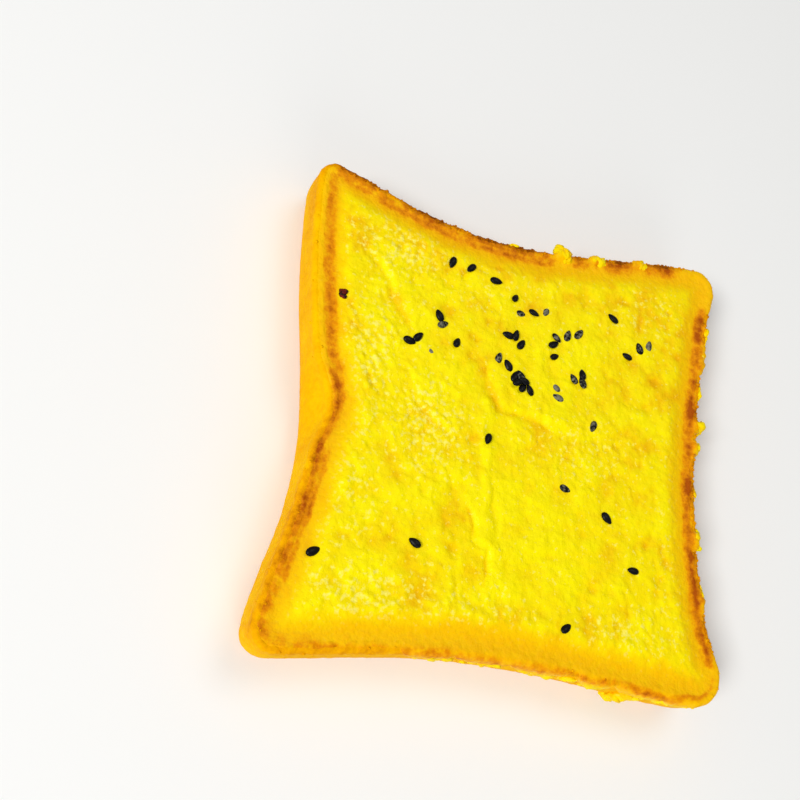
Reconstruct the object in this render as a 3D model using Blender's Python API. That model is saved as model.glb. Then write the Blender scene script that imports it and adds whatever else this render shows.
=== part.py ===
"""Buttered toast: one thick slice of sandwich bread, pinched in along its four sides,
under a soft layer of butter spread that runs over the crust in places.

Sizes below are in millimetres. The objects are built in metres with +Z up. The slice
rests on its cut face at Z = 0, with the origin under the middle of the whole toast.
"""

from collections import namedtuple
from math import cos, exp, hypot, log, pi, sin, sqrt

import bpy

MM = 0.001

Corner = namedtuple("Corner", "x y radius")
Side = namedtuple("Side", "pinch deepest flare")
Lobe = namedtuple("Lobe", "side along half_width reach height")
Sample = namedtuple("Sample", "x y nx ny radius run")

# Corners of the widest outline, anticlockwise seen from above, starting at near left.
CORNERS = (
    Corner(-53.7, -56.3, 5.5),
    Corner(57.2, -56.0, 7.5),
    Corner(58.2, 57.2, 6.0),
    Corner(-53.5, 57.0, 5.0),
)
# Near, right, far and left side, each running from its own corner to the next one:
# how deep it is pinched, how far along the pinch is deepest, and how late it starts.
NEAR, RIGHT, FAR, LEFT = range(4)
SIDES = (
    Side(pinch=4.0, deepest=0.47, flare=1.3),
    Side(pinch=6.0, deepest=0.42, flare=0.9),
    Side(pinch=8.0, deepest=0.58, flare=1.1),
    Side(pinch=6.4, deepest=0.62, flare=1.4),
)

# Upright section through the crust, from the base to the bed under the butter.
CREST_HEIGHT = 15.4
BASE_INSET = 1.0
BASE_ROUND = 1.3
BULGE_HEIGHT = 6.5
SHOULDER_INSET = 0.5
CREST_HALF_WIDTH = 1.3
CREST_ROUND = 1.8
BED_DROP = 0.9
BED_INSET = 4.6
CORNER_LIFT = 0.9

# Share of the height below which the wall keeps clear of the dent and the curl.
FIRM_SHARE = 0.35

# A thumb-wide dent that pushes the top of the left wall in.
DENT_ALONG = 0.53
DENT_DEPTH = 3.2
DENT_HALF_WIDTH = 8.0

# Butter spread. It ends a little way up the crest, measured from the edge of the bed.
BUTTER_GAP = 0.35
BUTTER_END = 1.2
BUTTER_EDGE_THICKNESS = 0.3
BUTTER_EDGE_ROUND = 2.4
BUTTER_RIM = 1.3
BUTTER_SHOULDER = 0.45
BUTTER_SHOULDER_AT = 0.94
BUTTER_SHOULDER_WIDTH = 0.055
BUTTER_FACE_DROP = 0.15
BUTTER_FACE_BLEND = 0.2
WAVE_HEIGHT = 0.16
WAVE_LENGTH = 21.0
WAVE_STRETCH = 1.6
WAVE_SLANTS = (0.35, 0.2)

# Where the butter has run over the crust: how wide, how far down, how thick.
LOBES = (
    Lobe(NEAR, 0.46, half_width=4.0, reach=7.0, height=1.3),
    Lobe(NEAR, 0.60, half_width=4.0, reach=7.0, height=1.4),
    Lobe(NEAR, 0.75, half_width=3.4, reach=10.5, height=2.6),
    Lobe(NEAR, 0.88, half_width=5.5, reach=7.0, height=1.6),
    Lobe(RIGHT, 0.05, half_width=6.5, reach=8.0, height=1.6),
    Lobe(RIGHT, 0.17, half_width=4.5, reach=7.0, height=1.3),
    Lobe(RIGHT, 0.31, half_width=3.4, reach=7.5, height=1.8),
    Lobe(RIGHT, 0.60, half_width=4.6, reach=7.8, height=2.0),
    Lobe(RIGHT, 0.82, half_width=6.0, reach=6.8, height=1.4),
    Lobe(FAR, 0.175, half_width=4.0, reach=6.4, height=1.3),
    Lobe(FAR, 0.31, half_width=5.0, reach=6.8, height=1.5),
    Lobe(FAR, 0.425, half_width=4.4, reach=8.0, height=2.6),
)
# A lobe starts inside the edge of the bed, bites this deep into the spread, and keeps
# this gap to the crust.
LOBE_START = -1.2
LOBE_ROOT = 0.8
LOBE_GAP = 0.5

# Mesh steps.
SIDE_STEPS = 14
CORNER_STEPS = 4
WALL_STEPS = 5
ROUND_STEPS = 3
PATH_STEPS = 4
FINE_STEPS = 18
LOBE_STEPS = 9
LOBE_SIDES = 12
BED_SCALES = (0.6, 0.25)
FACE_SCALES = (0.97, 0.94, 0.90, 0.82, 0.68, 0.50, 0.30, 0.12)

CRUST_COLOUR = (0.78, 0.42, 0.08)
BUTTER_COLOUR = (0.96, 0.86, 0.05)


def smooth(value):
    """Ease from 0 to 1 as the value goes from 0 to 1."""
    value = min(max(value, 0.0), 1.0)
    return value * value * (3.0 - 2.0 * value)


def bump(distance, half_width):
    """A soft hump that is 1 at its middle and about a third at its half width."""
    return exp(-((distance / half_width) ** 2))


def corner_centre(index):
    """The point that a corner of the outline is rounded about."""
    corner = CORNERS[index % 4]
    inward_x = corner.radius if corner.x < 0 else -corner.radius
    inward_y = corner.radius if corner.y < 0 else -corner.radius
    return corner.x + inward_x, corner.y + inward_y


def side_point(index, along):
    """A point of one side's spine, which lies one corner radius inside the outline."""
    ax, ay = corner_centre(index)
    bx, by = corner_centre(index + 1)
    side = SIDES[index]
    length = hypot(bx - ax, by - ay)
    warped = along ** (log(0.5) / log(side.deepest))
    depth = side.pinch * sin(pi * min(warped, 1.0)) ** side.flare if 0 < along < 1 else 0.0
    return (
        ax + (bx - ax) * along - (by - ay) / length * depth,
        ay + (by - ay) * along + (bx - ax) / length * depth,
    )


def side_normal(index, along):
    """The outward direction of one side at a place along it."""
    step = 0.01
    x0, y0 = side_point(index, max(along - step, 0.0))
    x1, y1 = side_point(index, min(along + step, 1.0))
    length = hypot(x1 - x0, y1 - y0)
    return (y1 - y0) / length, -(x1 - x0) / length


def corner_normals(index):
    """Directions that turn from the end of one side to the start of the next one."""
    ax, ay = side_normal(index, 1.0)
    bx, by = side_normal((index + 1) % 4, 0.0)
    for step in range(1, CORNER_STEPS):
        share = step / CORNER_STEPS
        x = ax * (1 - share) + bx * share
        y = ay * (1 - share) + by * share
        yield x / hypot(x, y), y / hypot(x, y)


class Outline:
    """The slice seen from above: samples round its widest outline, one ring's worth."""

    def __init__(self):
        self.samples = []
        self.length = 0.0
        last = None
        for (x, y), (nx, ny), radius in self.places():
            point = (x + nx * radius, y + ny * radius)
            if last:
                self.length += hypot(point[0] - last[0], point[1] - last[1])
            self.samples.append(Sample(x, y, nx, ny, radius, self.length))
            last = point
        start = self.samples[0]
        self.length += hypot(
            start.x + start.nx * start.radius - last[0],
            start.y + start.ny * start.radius - last[1],
        )

    def places(self):
        """Spine points with their outward directions and radii, side after side."""
        for index in range(4):
            radius_a = CORNERS[index].radius
            radius_b = CORNERS[(index + 1) % 4].radius
            for step in range(SIDE_STEPS + 1):
                along = step / SIDE_STEPS
                radius = radius_a + (radius_b - radius_a) * along
                yield side_point(index, along), side_normal(index, along), radius
            for normal in corner_normals(index):
                yield side_point(index, 1.0), normal, radius_b

    def run_at(self, side, along):
        """How far round the outline a place on one side is."""
        first = side * (SIDE_STEPS + CORNER_STEPS)
        low = int(along * SIDE_STEPS)
        a = self.samples[first + low].run
        b = self.samples[first + low + 1].run
        return a + (b - a) * (along * SIDE_STEPS - low)

    def apart(self, sample, side, along):
        """The shorter way round from a sample to a place on one side."""
        gap = abs(sample.run - self.run_at(side, along))
        return min(gap, self.length - gap)

    def sample_at(self, side, along):
        """A sample at any place along one side."""
        x, y = side_point(side, along)
        nx, ny = side_normal(side, along)
        radius_a = CORNERS[side].radius
        radius_b = CORNERS[(side + 1) % 4].radius
        radius = radius_a + (radius_b - radius_a) * along
        return Sample(x, y, nx, ny, radius, self.run_at(side, along))


def arc(start_angle, end_angle, centre, radii, steps):
    """Points of an elliptical arc in the upright section, as (offset, height)."""
    points = []
    for step in range(steps + 1):
        angle = start_angle + (end_angle - start_angle) * step / steps
        points.append((centre[0] + radii[0] * cos(angle), centre[1] + radii[1] * sin(angle)))
    return points


def crust_profile(wall_steps, round_steps):
    """The crust's section from the flat base, up the wall and over the crest to the bed.

    An offset is measured outwards from the widest outline, so most are negative.
    """
    wall_foot = BASE_ROUND
    wall_top = CREST_HEIGHT - CREST_ROUND
    points = arc(
        -pi / 2, 0.0, (-BASE_INSET - BASE_ROUND, wall_foot), (BASE_ROUND, BASE_ROUND), round_steps
    )
    for step in range(1, wall_steps + 1):
        height = wall_foot + (wall_top - wall_foot) * step / wall_steps
        if height < BULGE_HEIGHT:
            share = (BULGE_HEIGHT - height) / (BULGE_HEIGHT - wall_foot)
            points.append((-BASE_INSET * share**2, height))
        else:
            share = (height - BULGE_HEIGHT) / (wall_top - BULGE_HEIGHT)
            points.append((-SHOULDER_INSET * share**2, height))
    crest = -SHOULDER_INSET - CREST_HALF_WIDTH
    outer = arc(
        0.0, pi / 2, (crest, wall_top), (CREST_HALF_WIDTH, CREST_ROUND), round_steps
    )
    bed_height = CREST_HEIGHT - BED_DROP
    inner = arc(
        pi / 2, pi, (crest, bed_height), (CREST_HALF_WIDTH, BED_DROP), round_steps
    )
    return points + outer[1:] + inner[1:] + [(-BED_INSET, bed_height)]


def dent(outline, sample):
    """How far the top of the wall is pushed in at a sample."""
    return DENT_DEPTH * bump(outline.apart(sample, LEFT, DENT_ALONG), DENT_HALF_WIDTH)


def lift(x, y):
    """How far the slice curls up towards its corners."""
    return CORNER_LIFT * (hypot(x, y) / hypot(CORNERS[0].x, CORNERS[0].y)) ** 4


def placed(outline, sample, offset, height):
    """The point at an offset and height of the section that stands on a sample."""
    upper = smooth((height / CREST_HEIGHT - FIRM_SHARE) / (1.0 - FIRM_SHARE))
    reach = sample.radius + offset - dent(outline, sample) * upper
    x = sample.x + sample.nx * reach
    y = sample.y + sample.ny * reach
    return x, y, height + lift(x, y) * smooth(height / CREST_HEIGHT)


def shrunk(point, scale, height):
    """A ring point drawn in towards the middle, at a height of its own."""
    x = point[0] * scale
    y = point[1] * scale
    return x, y, height + lift(x, y)


def bread_rings(outline, grown=0.0):
    """The slice's rings from the base, up the wall and in over the bed."""
    profile = crust_profile(WALL_STEPS, ROUND_STEPS)
    rings = []
    for place, (across, up) in zip(profile, outward(profile)):
        offset = place[0] + across * grown
        height = place[1] + up * grown
        ring = [placed(outline, sample, offset, height) for sample in outline.samples]
        rings.append(ring)
    edge = rings[-1]
    bed_height = CREST_HEIGHT - BED_DROP + grown
    for scale in BED_SCALES:
        rings.append([shrunk(point, scale, bed_height) for point in edge])
    return rings


def outward(profile):
    """The section's outward direction at each of its points."""
    directions = []
    for index in range(len(profile)):
        ax, az = profile[max(index - 1, 0)]
        bx, bz = profile[min(index + 1, len(profile) - 1)]
        length = hypot(bx - ax, bz - az)
        directions.append(((bz - az) / length, -(bx - ax) / length))
    return directions


def walk(path, distance):
    """The place and outward direction at a distance along a path that runs outwards."""
    for (ax, az), (bx, bz) in zip(path, path[1:]):
        length = hypot(bx - ax, bz - az)
        if distance <= length:
            break
        distance -= length
    share = min(distance / length, 1.0)
    place = (ax + (bx - ax) * share, az + (bz - az) * share)
    return place, (-(bz - az) / length, (bx - ax) / length)


def spread_thickness(distance):
    """The spread's thickness near its rim, rounded off at its end."""
    left = (BUTTER_END - distance) / BUTTER_EDGE_ROUND
    rounding = sqrt(1.0 - (1.0 - left) ** 2)
    return BUTTER_EDGE_THICKNESS + (BUTTER_RIM - BUTTER_EDGE_THICKNESS) * rounding


def wave(x, y):
    """The long, low waves that a knife leaves in the spread."""
    across = sin(2 * pi * (x + WAVE_SLANTS[0] * y) / WAVE_LENGTH)
    down = sin(2 * pi * (y - WAVE_SLANTS[1] * x) / (WAVE_STRETCH * WAVE_LENGTH))
    return WAVE_HEIGHT * across * down


def face_thickness(x, y, scale):
    """The spread's thickness over the bed: a soft shoulder round a waved face."""
    shoulder = BUTTER_SHOULDER * bump(scale - BUTTER_SHOULDER_AT, BUTTER_SHOULDER_WIDTH)
    inside = smooth((1.0 - scale) / BUTTER_FACE_BLEND)
    return BUTTER_RIM + shoulder + (wave(x, y) - BUTTER_FACE_DROP) * inside


def butter_rings(outline, path):
    """The spread's rings: underneath from the middle out, then back in over its top."""
    bed_height = CREST_HEIGHT - BED_DROP + BUTTER_GAP
    lower = []
    upper = []
    for step in range(PATH_STEPS + 1):
        distance = BUTTER_END * step / PATH_STEPS
        (offset, height), (across, up) = walk(path, distance)
        top = BUTTER_GAP + spread_thickness(distance)
        for rings, away in ((lower, BUTTER_GAP), (upper, top)):
            place = (offset + across * away, height + up * away)
            rings.append([placed(outline, sample, *place) for sample in outline.samples])
    under = [[shrunk(point, scale, bed_height) for point in lower[0]] for scale in BED_SCALES]
    face = []
    for scale in FACE_SCALES:
        ring = []
        for x, y, _ in lower[0]:
            thickness = face_thickness(x * scale, y * scale, scale)
            ring.append(shrunk((x, y), scale, bed_height + thickness))
        face.append(ring)
    return under[::-1] + lower + upper[::-1] + face


def lobe_rings(outline, path, lobe):
    """A rounded lump that lies over the crust, from the spread down to its reach."""
    side_length = hypot(
        CORNERS[lobe.side].x - CORNERS[(lobe.side + 1) % 4].x,
        CORNERS[lobe.side].y - CORNERS[(lobe.side + 1) % 4].y,
    )
    rings = []
    for step in range(1, LOBE_STEPS):
        angle = pi * step / LOBE_STEPS
        distance = LOBE_START + (lobe.reach - LOBE_START) * (1 - cos(angle)) / 2
        (offset, height), (across, up) = walk(path, distance)
        ring = []
        for turn in range(LOBE_SIDES):
            spin = 2 * pi * turn / LOBE_SIDES
            aside = lobe.half_width * sin(angle) * cos(spin)
            away = (lobe.height if spin < pi else LOBE_ROOT) * sin(angle) * sin(spin)
            sample = outline.sample_at(lobe.side, lobe.along + aside / side_length)
            place = (offset + across * away, height + up * away)
            ring.append(placed(outline, sample, *place))
        rings.append(ring)
    return rings


def skin(rings):
    """Vertices and faces of a closed body through the rings, with a pole at each end."""
    count = len(rings[0])
    vertices = [point for ring in rings for point in ring]
    faces = []
    for row in range(len(rings) - 1):
        for place in range(count):
            a = row * count + place
            b = row * count + (place + 1) % count
            faces.append((a, b, b + count, a + count))
    for row, turn in ((0, -1), (len(rings) - 1, 1)):
        pole = len(vertices)
        vertices.append(tuple(sum(values) / count for values in zip(*rings[row])))
        for place in range(count):
            a = row * count + place
            b = row * count + (place + 1) % count
            faces.append((a, b, pole)[::turn])
    return vertices, faces


def joined(bodies):
    """One set of vertices and faces for several bodies."""
    vertices = []
    faces = []
    for more_vertices, more_faces in bodies:
        first = len(vertices)
        vertices += more_vertices
        faces += [tuple(first + index for index in face) for face in more_faces]
    return vertices, faces


def material(name, colour, roughness):
    """A plain Principled material."""
    made = bpy.data.materials.new(name)
    made.use_nodes = True
    shader = made.node_tree.nodes["Principled BSDF"]
    shader.inputs["Base Color"].default_value = (*colour, 1.0)
    shader.inputs["Roughness"].default_value = roughness
    shader.inputs["Metallic"].default_value = 0.0
    return made


def add_object(name, body, middle, finish, parent):
    """A named object from one closed body, moved so that the toast stands at the origin."""
    vertices, faces = body
    moved = [((x - middle[0]) * MM, (y - middle[1]) * MM, z * MM) for x, y, z in vertices]
    mesh = bpy.data.meshes.new(name)
    mesh.from_pydata(moved, [], faces)
    mesh.validate()
    mesh.shade_smooth()
    mesh.set_sharp_from_angle(angle=pi / 4)
    mesh.materials.append(finish)
    made = bpy.data.objects.new(name, mesh)
    made.parent = parent
    bpy.context.scene.collection.objects.link(made)
    return made


def hidden_cutter(made):
    """Keep a helper out of the render."""
    made.hide_render = True
    made.display_type = "WIRE"
    return made


def boolean(target, helper, operation):
    """Join a helper's shape to an object, or cut it away."""
    modifier = target.modifiers.new(helper.name, "BOOLEAN")
    modifier.operation = operation
    modifier.solver = "EXACT"
    modifier.use_self = True
    modifier.object = helper


def middle_of(bodies):
    """The middle of all the bodies seen from above."""
    points = [point for vertices, _ in bodies for point in vertices]
    spans = [[point[axis] for point in points] for axis in range(2)]
    return [(min(span) + max(span)) / 2 for span in spans]


def main():
    """Build the slice and its spread."""
    for old in list(bpy.data.objects):
        bpy.data.objects.remove(old)
    outline = Outline()
    path = crust_profile(FINE_STEPS, FINE_STEPS)[::-1]
    bread = skin(bread_rings(outline))
    bread_with_gap = skin(bread_rings(outline, LOBE_GAP))
    spread = skin(butter_rings(outline, path))
    lobes = joined([skin(lobe_rings(outline, path, lobe)) for lobe in LOBES])
    middle = middle_of((bread, lobes))
    toast = bpy.data.objects.new("toast", None)
    bpy.context.scene.collection.objects.link(toast)
    crust = material("toasted_bread", CRUST_COLOUR, 0.75)
    butter = material("butter", BUTTER_COLOUR, 0.45)
    add_object("bread_slice", bread, middle, crust, toast)
    cutter = hidden_cutter(add_object("bread_with_gap", bread_with_gap, middle, crust, toast))
    lumps = hidden_cutter(add_object("butter_lobes", lobes, middle, butter, toast))
    boolean(lumps, cutter, "DIFFERENCE")
    boolean(add_object("butter_spread", spread, middle, butter, toast), lumps, "UNION")


main()
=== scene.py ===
"""A slice of buttered toast with black sesame seeds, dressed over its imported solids.

The bread is pinched in along its four sides. The butter spread lies in the bed inside
the crust's crest and runs over the crest in places. Sizes are in millimetres in the
classes below and become metres only when a mesh is made.
"""

import logging
from dataclasses import dataclass, field
from enum import IntEnum
from math import cos, log, pi, radians, sin

import bpy
import numpy as np
from bpy.types import Material, Node, NodeSocket, NodeTree, Object
from mathutils import Matrix, Vector
from mathutils.kdtree import KDTree

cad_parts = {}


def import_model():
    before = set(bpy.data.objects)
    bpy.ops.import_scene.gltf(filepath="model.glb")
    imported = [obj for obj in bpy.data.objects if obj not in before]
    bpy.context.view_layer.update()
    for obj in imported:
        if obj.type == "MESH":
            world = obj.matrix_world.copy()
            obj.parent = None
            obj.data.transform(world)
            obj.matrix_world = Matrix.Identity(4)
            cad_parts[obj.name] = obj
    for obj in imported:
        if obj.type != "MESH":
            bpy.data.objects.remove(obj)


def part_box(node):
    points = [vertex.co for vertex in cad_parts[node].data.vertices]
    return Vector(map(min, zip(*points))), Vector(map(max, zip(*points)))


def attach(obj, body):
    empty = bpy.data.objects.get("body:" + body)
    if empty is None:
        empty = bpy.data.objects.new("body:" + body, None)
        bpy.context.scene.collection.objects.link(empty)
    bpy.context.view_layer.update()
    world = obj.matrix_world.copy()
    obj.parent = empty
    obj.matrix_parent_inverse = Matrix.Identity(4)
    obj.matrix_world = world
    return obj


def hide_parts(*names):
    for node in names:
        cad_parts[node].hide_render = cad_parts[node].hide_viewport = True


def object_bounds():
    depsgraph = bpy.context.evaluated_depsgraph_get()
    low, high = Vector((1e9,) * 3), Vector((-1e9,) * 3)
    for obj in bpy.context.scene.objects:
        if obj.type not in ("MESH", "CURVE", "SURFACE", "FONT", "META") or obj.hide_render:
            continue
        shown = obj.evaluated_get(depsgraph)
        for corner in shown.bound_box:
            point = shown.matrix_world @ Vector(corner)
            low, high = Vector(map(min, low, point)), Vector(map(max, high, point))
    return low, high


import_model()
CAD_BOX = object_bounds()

MM = 0.001
ROOT = "root"
report = logging.getLogger("buttered_toast")
Array = np.ndarray


class Side(IntEnum):
    """The four sides of the slice, anticlockwise seen from above."""

    NEAR = 0
    RIGHT = 1
    FAR = 2
    LEFT = 3


NEAR, RIGHT, FAR, LEFT = Side


# ---------------------------------------------------------------- small helpers


def linear(code: str) -> tuple[float, float, float, float]:
    """Turn an sRGB hex colour into the linear colour that a shader takes.

    Args:
        code: six hex digits with a leading hash.

    Returns:
        Red, green, blue and an alpha of 1.
    """
    parts = [int(code[place : place + 2], 16) / 255 for place in (1, 3, 5)]
    red, green, blue = (
        part / 12.92 if part <= 0.04045 else ((part + 0.055) / 1.055) ** 2.4 for part in parts
    )
    return red, green, blue, 1.0


def per_metre(size_mm: float) -> float:
    """Give the texture scale whose pattern repeats about once in a size in millimetres."""
    return 1.0 / (size_mm * MM)


def add_node(
    tree: NodeTree,
    kind: str,
    settings: dict | None = None,
    links: dict | None = None,
) -> Node:
    """Add one node with its settings and its incoming links.

    Args:
        tree: the shader or geometry tree that takes the node.
        kind: Blender's name of the node.
        settings: properties by name, input values by socket name or number, and "stops",
            the (place, hex colour) pairs of a colour ramp.
        links: what feeds each input, by the input's name or number: an outgoing socket, or
            a node for its first one.

    Returns:
        The new node.
    """
    node = tree.nodes.new(kind)
    for key, value in (settings or {}).items():
        if key == "stops":
            while len(node.color_ramp.elements) < len(value):
                node.color_ramp.elements.new(0.5)
            for element, (place, colour) in zip(node.color_ramp.elements, value):
                element.position = place
                element.color = linear(colour)
        elif isinstance(key, str) and hasattr(node, key):
            setattr(node, key, value)
        else:
            node.inputs[key].default_value = value
    for key, source in (links or {}).items():
        socket = source.outputs[0] if isinstance(source, Node) else source
        tree.links.new(socket, node.inputs[key])
    return node


def ease(value: Array) -> Array:
    """Ease from 0 to 1 as the value goes from 0 to 1."""
    held = np.clip(value, 0.0, 1.0)
    return held * held * (3.0 - 2.0 * held)


def hump(distance: Array, half_width: float | Array) -> Array:
    """A soft hump that is 1 in the middle and about a third at its half width."""
    return np.exp(-((distance / half_width) ** 2))


def on_level(flat: Array) -> Array:
    """Give rows of x and y a height of nothing."""
    return np.column_stack([flat, np.zeros(len(flat))])


def make_piece(
    name: str,
    points: Array,
    faces: list,
    attributes: dict[str, Array] | None = None,
) -> Object:
    """Make a smooth-shaded object from points in millimetres, with its place in its mesh.

    Args:
        name: the piece's name.
        points: one row of x, y and z for each point.
        faces: rows of point numbers, anticlockwise seen from outside.
        attributes: one value for each point, by attribute name.

    Returns:
        The object, linked to the scene.
    """
    mesh = bpy.data.meshes.new(name)
    mesh.from_pydata((points * MM).tolist(), [], faces)
    mesh.shade_smooth()
    for key, values in (attributes or {}).items():
        layer = mesh.attributes.new(key, "FLOAT", "POINT")
        layer.data.foreach_set("value", np.asarray(values, dtype=np.float32))
    piece = bpy.data.objects.new(name, mesh)
    bpy.context.scene.collection.objects.link(piece)
    return piece


def record(piece: Object, finish: Material | None = None) -> None:
    """Give a piece its material slot and its body, and its finish where it has none yet.

    Args:
        piece: the finished piece.
        finish: its material.
    """
    if finish:
        piece.data.materials.append(finish)
    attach(piece, ROOT)


# ---------------------------------------------------------------- noise


@dataclass(frozen=True)
class Noise:
    """Smooth noise and cell patterns over points in millimetres, the same on every run."""

    seed: int

    @property
    def slopes(self) -> Array:
        """The random directions that the smooth noise is made from."""
        chosen = np.random.default_rng(self.seed).normal(size=(256, 3))
        return chosen / np.linalg.norm(chosen, axis=1, keepdims=True)

    def code(self, cells: Array, channel: int = 0) -> Array:
        """Give each whole-number cell its own 32-bit number.

        Args:
            cells: rows of three whole numbers.
            channel: picks one of several independent sets of numbers.

        Returns:
            One whole number for each cell.
        """
        held = cells.astype(np.int64).astype(np.uint64)
        low = np.uint64(0xFFFFFFFF)
        mixed = held[..., 0] * np.uint64(73856093)
        mixed = mixed ^ (held[..., 1] * np.uint64(19349663))
        mixed = mixed ^ (held[..., 2] * np.uint64(83492791))
        mixed = (mixed ^ np.uint64(self.seed * 40503 + channel * 97531)) & low
        mixed = ((mixed ^ (mixed >> np.uint64(15))) * np.uint64(2246822519)) & low
        mixed = ((mixed ^ (mixed >> np.uint64(13))) * np.uint64(3266489917)) & low
        return mixed ^ (mixed >> np.uint64(16))

    def waves(self, points: Array, size: float) -> Array:
        """Smooth noise of one size, from about -1 to 1.

        Args:
            points: rows of x, y and z.
            size: the distance over which it rises and falls once.

        Returns:
            One value for each point.
        """
        slopes = self.slopes
        scaled = points / size
        base = np.floor(scaled)
        part = scaled - base
        eased = part**3 * (part * (part * 6.0 - 15.0) + 10.0)
        total = np.zeros(points.shape[:-1])
        for corner in np.ndindex(2, 2, 2):
            offset = np.array(corner)
            slope = slopes[(self.code(base + offset) & np.uint64(255)).astype(int)]
            weight = np.prod(np.where(offset, eased, 1.0 - eased), axis=-1)
            total += weight * np.sum(slope * (part - offset), axis=-1)
        return total * 1.6

    def fractal(self, points: Array, size: float, octaves: int = 3) -> Array:
        """Noise of several sizes, each half the last in size and strength.

        Args:
            points: rows of x, y and z.
            size: the largest size.
            octaves: how many sizes.

        Returns:
            One value for each point, from about -1 to 1.
        """
        total = np.zeros(points.shape[:-1])
        for octave in range(octaves):
            total += self.waves(points + 37.0 * octave, size / 2**octave) / 2**octave
        return total / 1.5

    def cells(self, points: Array, size: float) -> tuple[Array, Array]:
        """Round cells scattered in space.

        Args:
            points: rows of x, y and z.
            size: the mean distance between the cells' middles.

        Returns:
            For each point the distance to the nearest middle, over the size, and that
            cell's own value from 0 to 1.
        """
        scaled = points / size
        base = np.floor(scaled)
        nearest = np.full(points.shape[:-1], 9.0)
        value = np.zeros(points.shape[:-1])
        for corner in np.ndindex(3, 3, 3):
            cell = base + np.array(corner) - 1
            jitter = [self.code(cell, channel) / 2**32 for channel in (1, 2, 3)]
            distance = np.linalg.norm(cell + np.stack(jitter, axis=-1) - scaled, axis=-1)
            closer = distance < nearest
            nearest = np.where(closer, distance, nearest)
            value = np.where(closer, self.code(cell, 4) / 2**32, value)
        return nearest, value


# ---------------------------------------------------------------- the slice's form


@dataclass(frozen=True)
class Corner:
    """A corner of the widest outline and the radius that rounds it."""

    x: float
    y: float
    radius: float

    @property
    def centre(self) -> Array:
        """The middle of the corner's round."""
        tip = np.array([self.x, self.y])
        return tip - np.sign(tip) * self.radius


@dataclass(frozen=True)
class Pinch:
    """How deep a side is drawn in, how far along it is deepest, and how late it starts."""

    depth: float
    deepest: float
    flare: float


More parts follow.
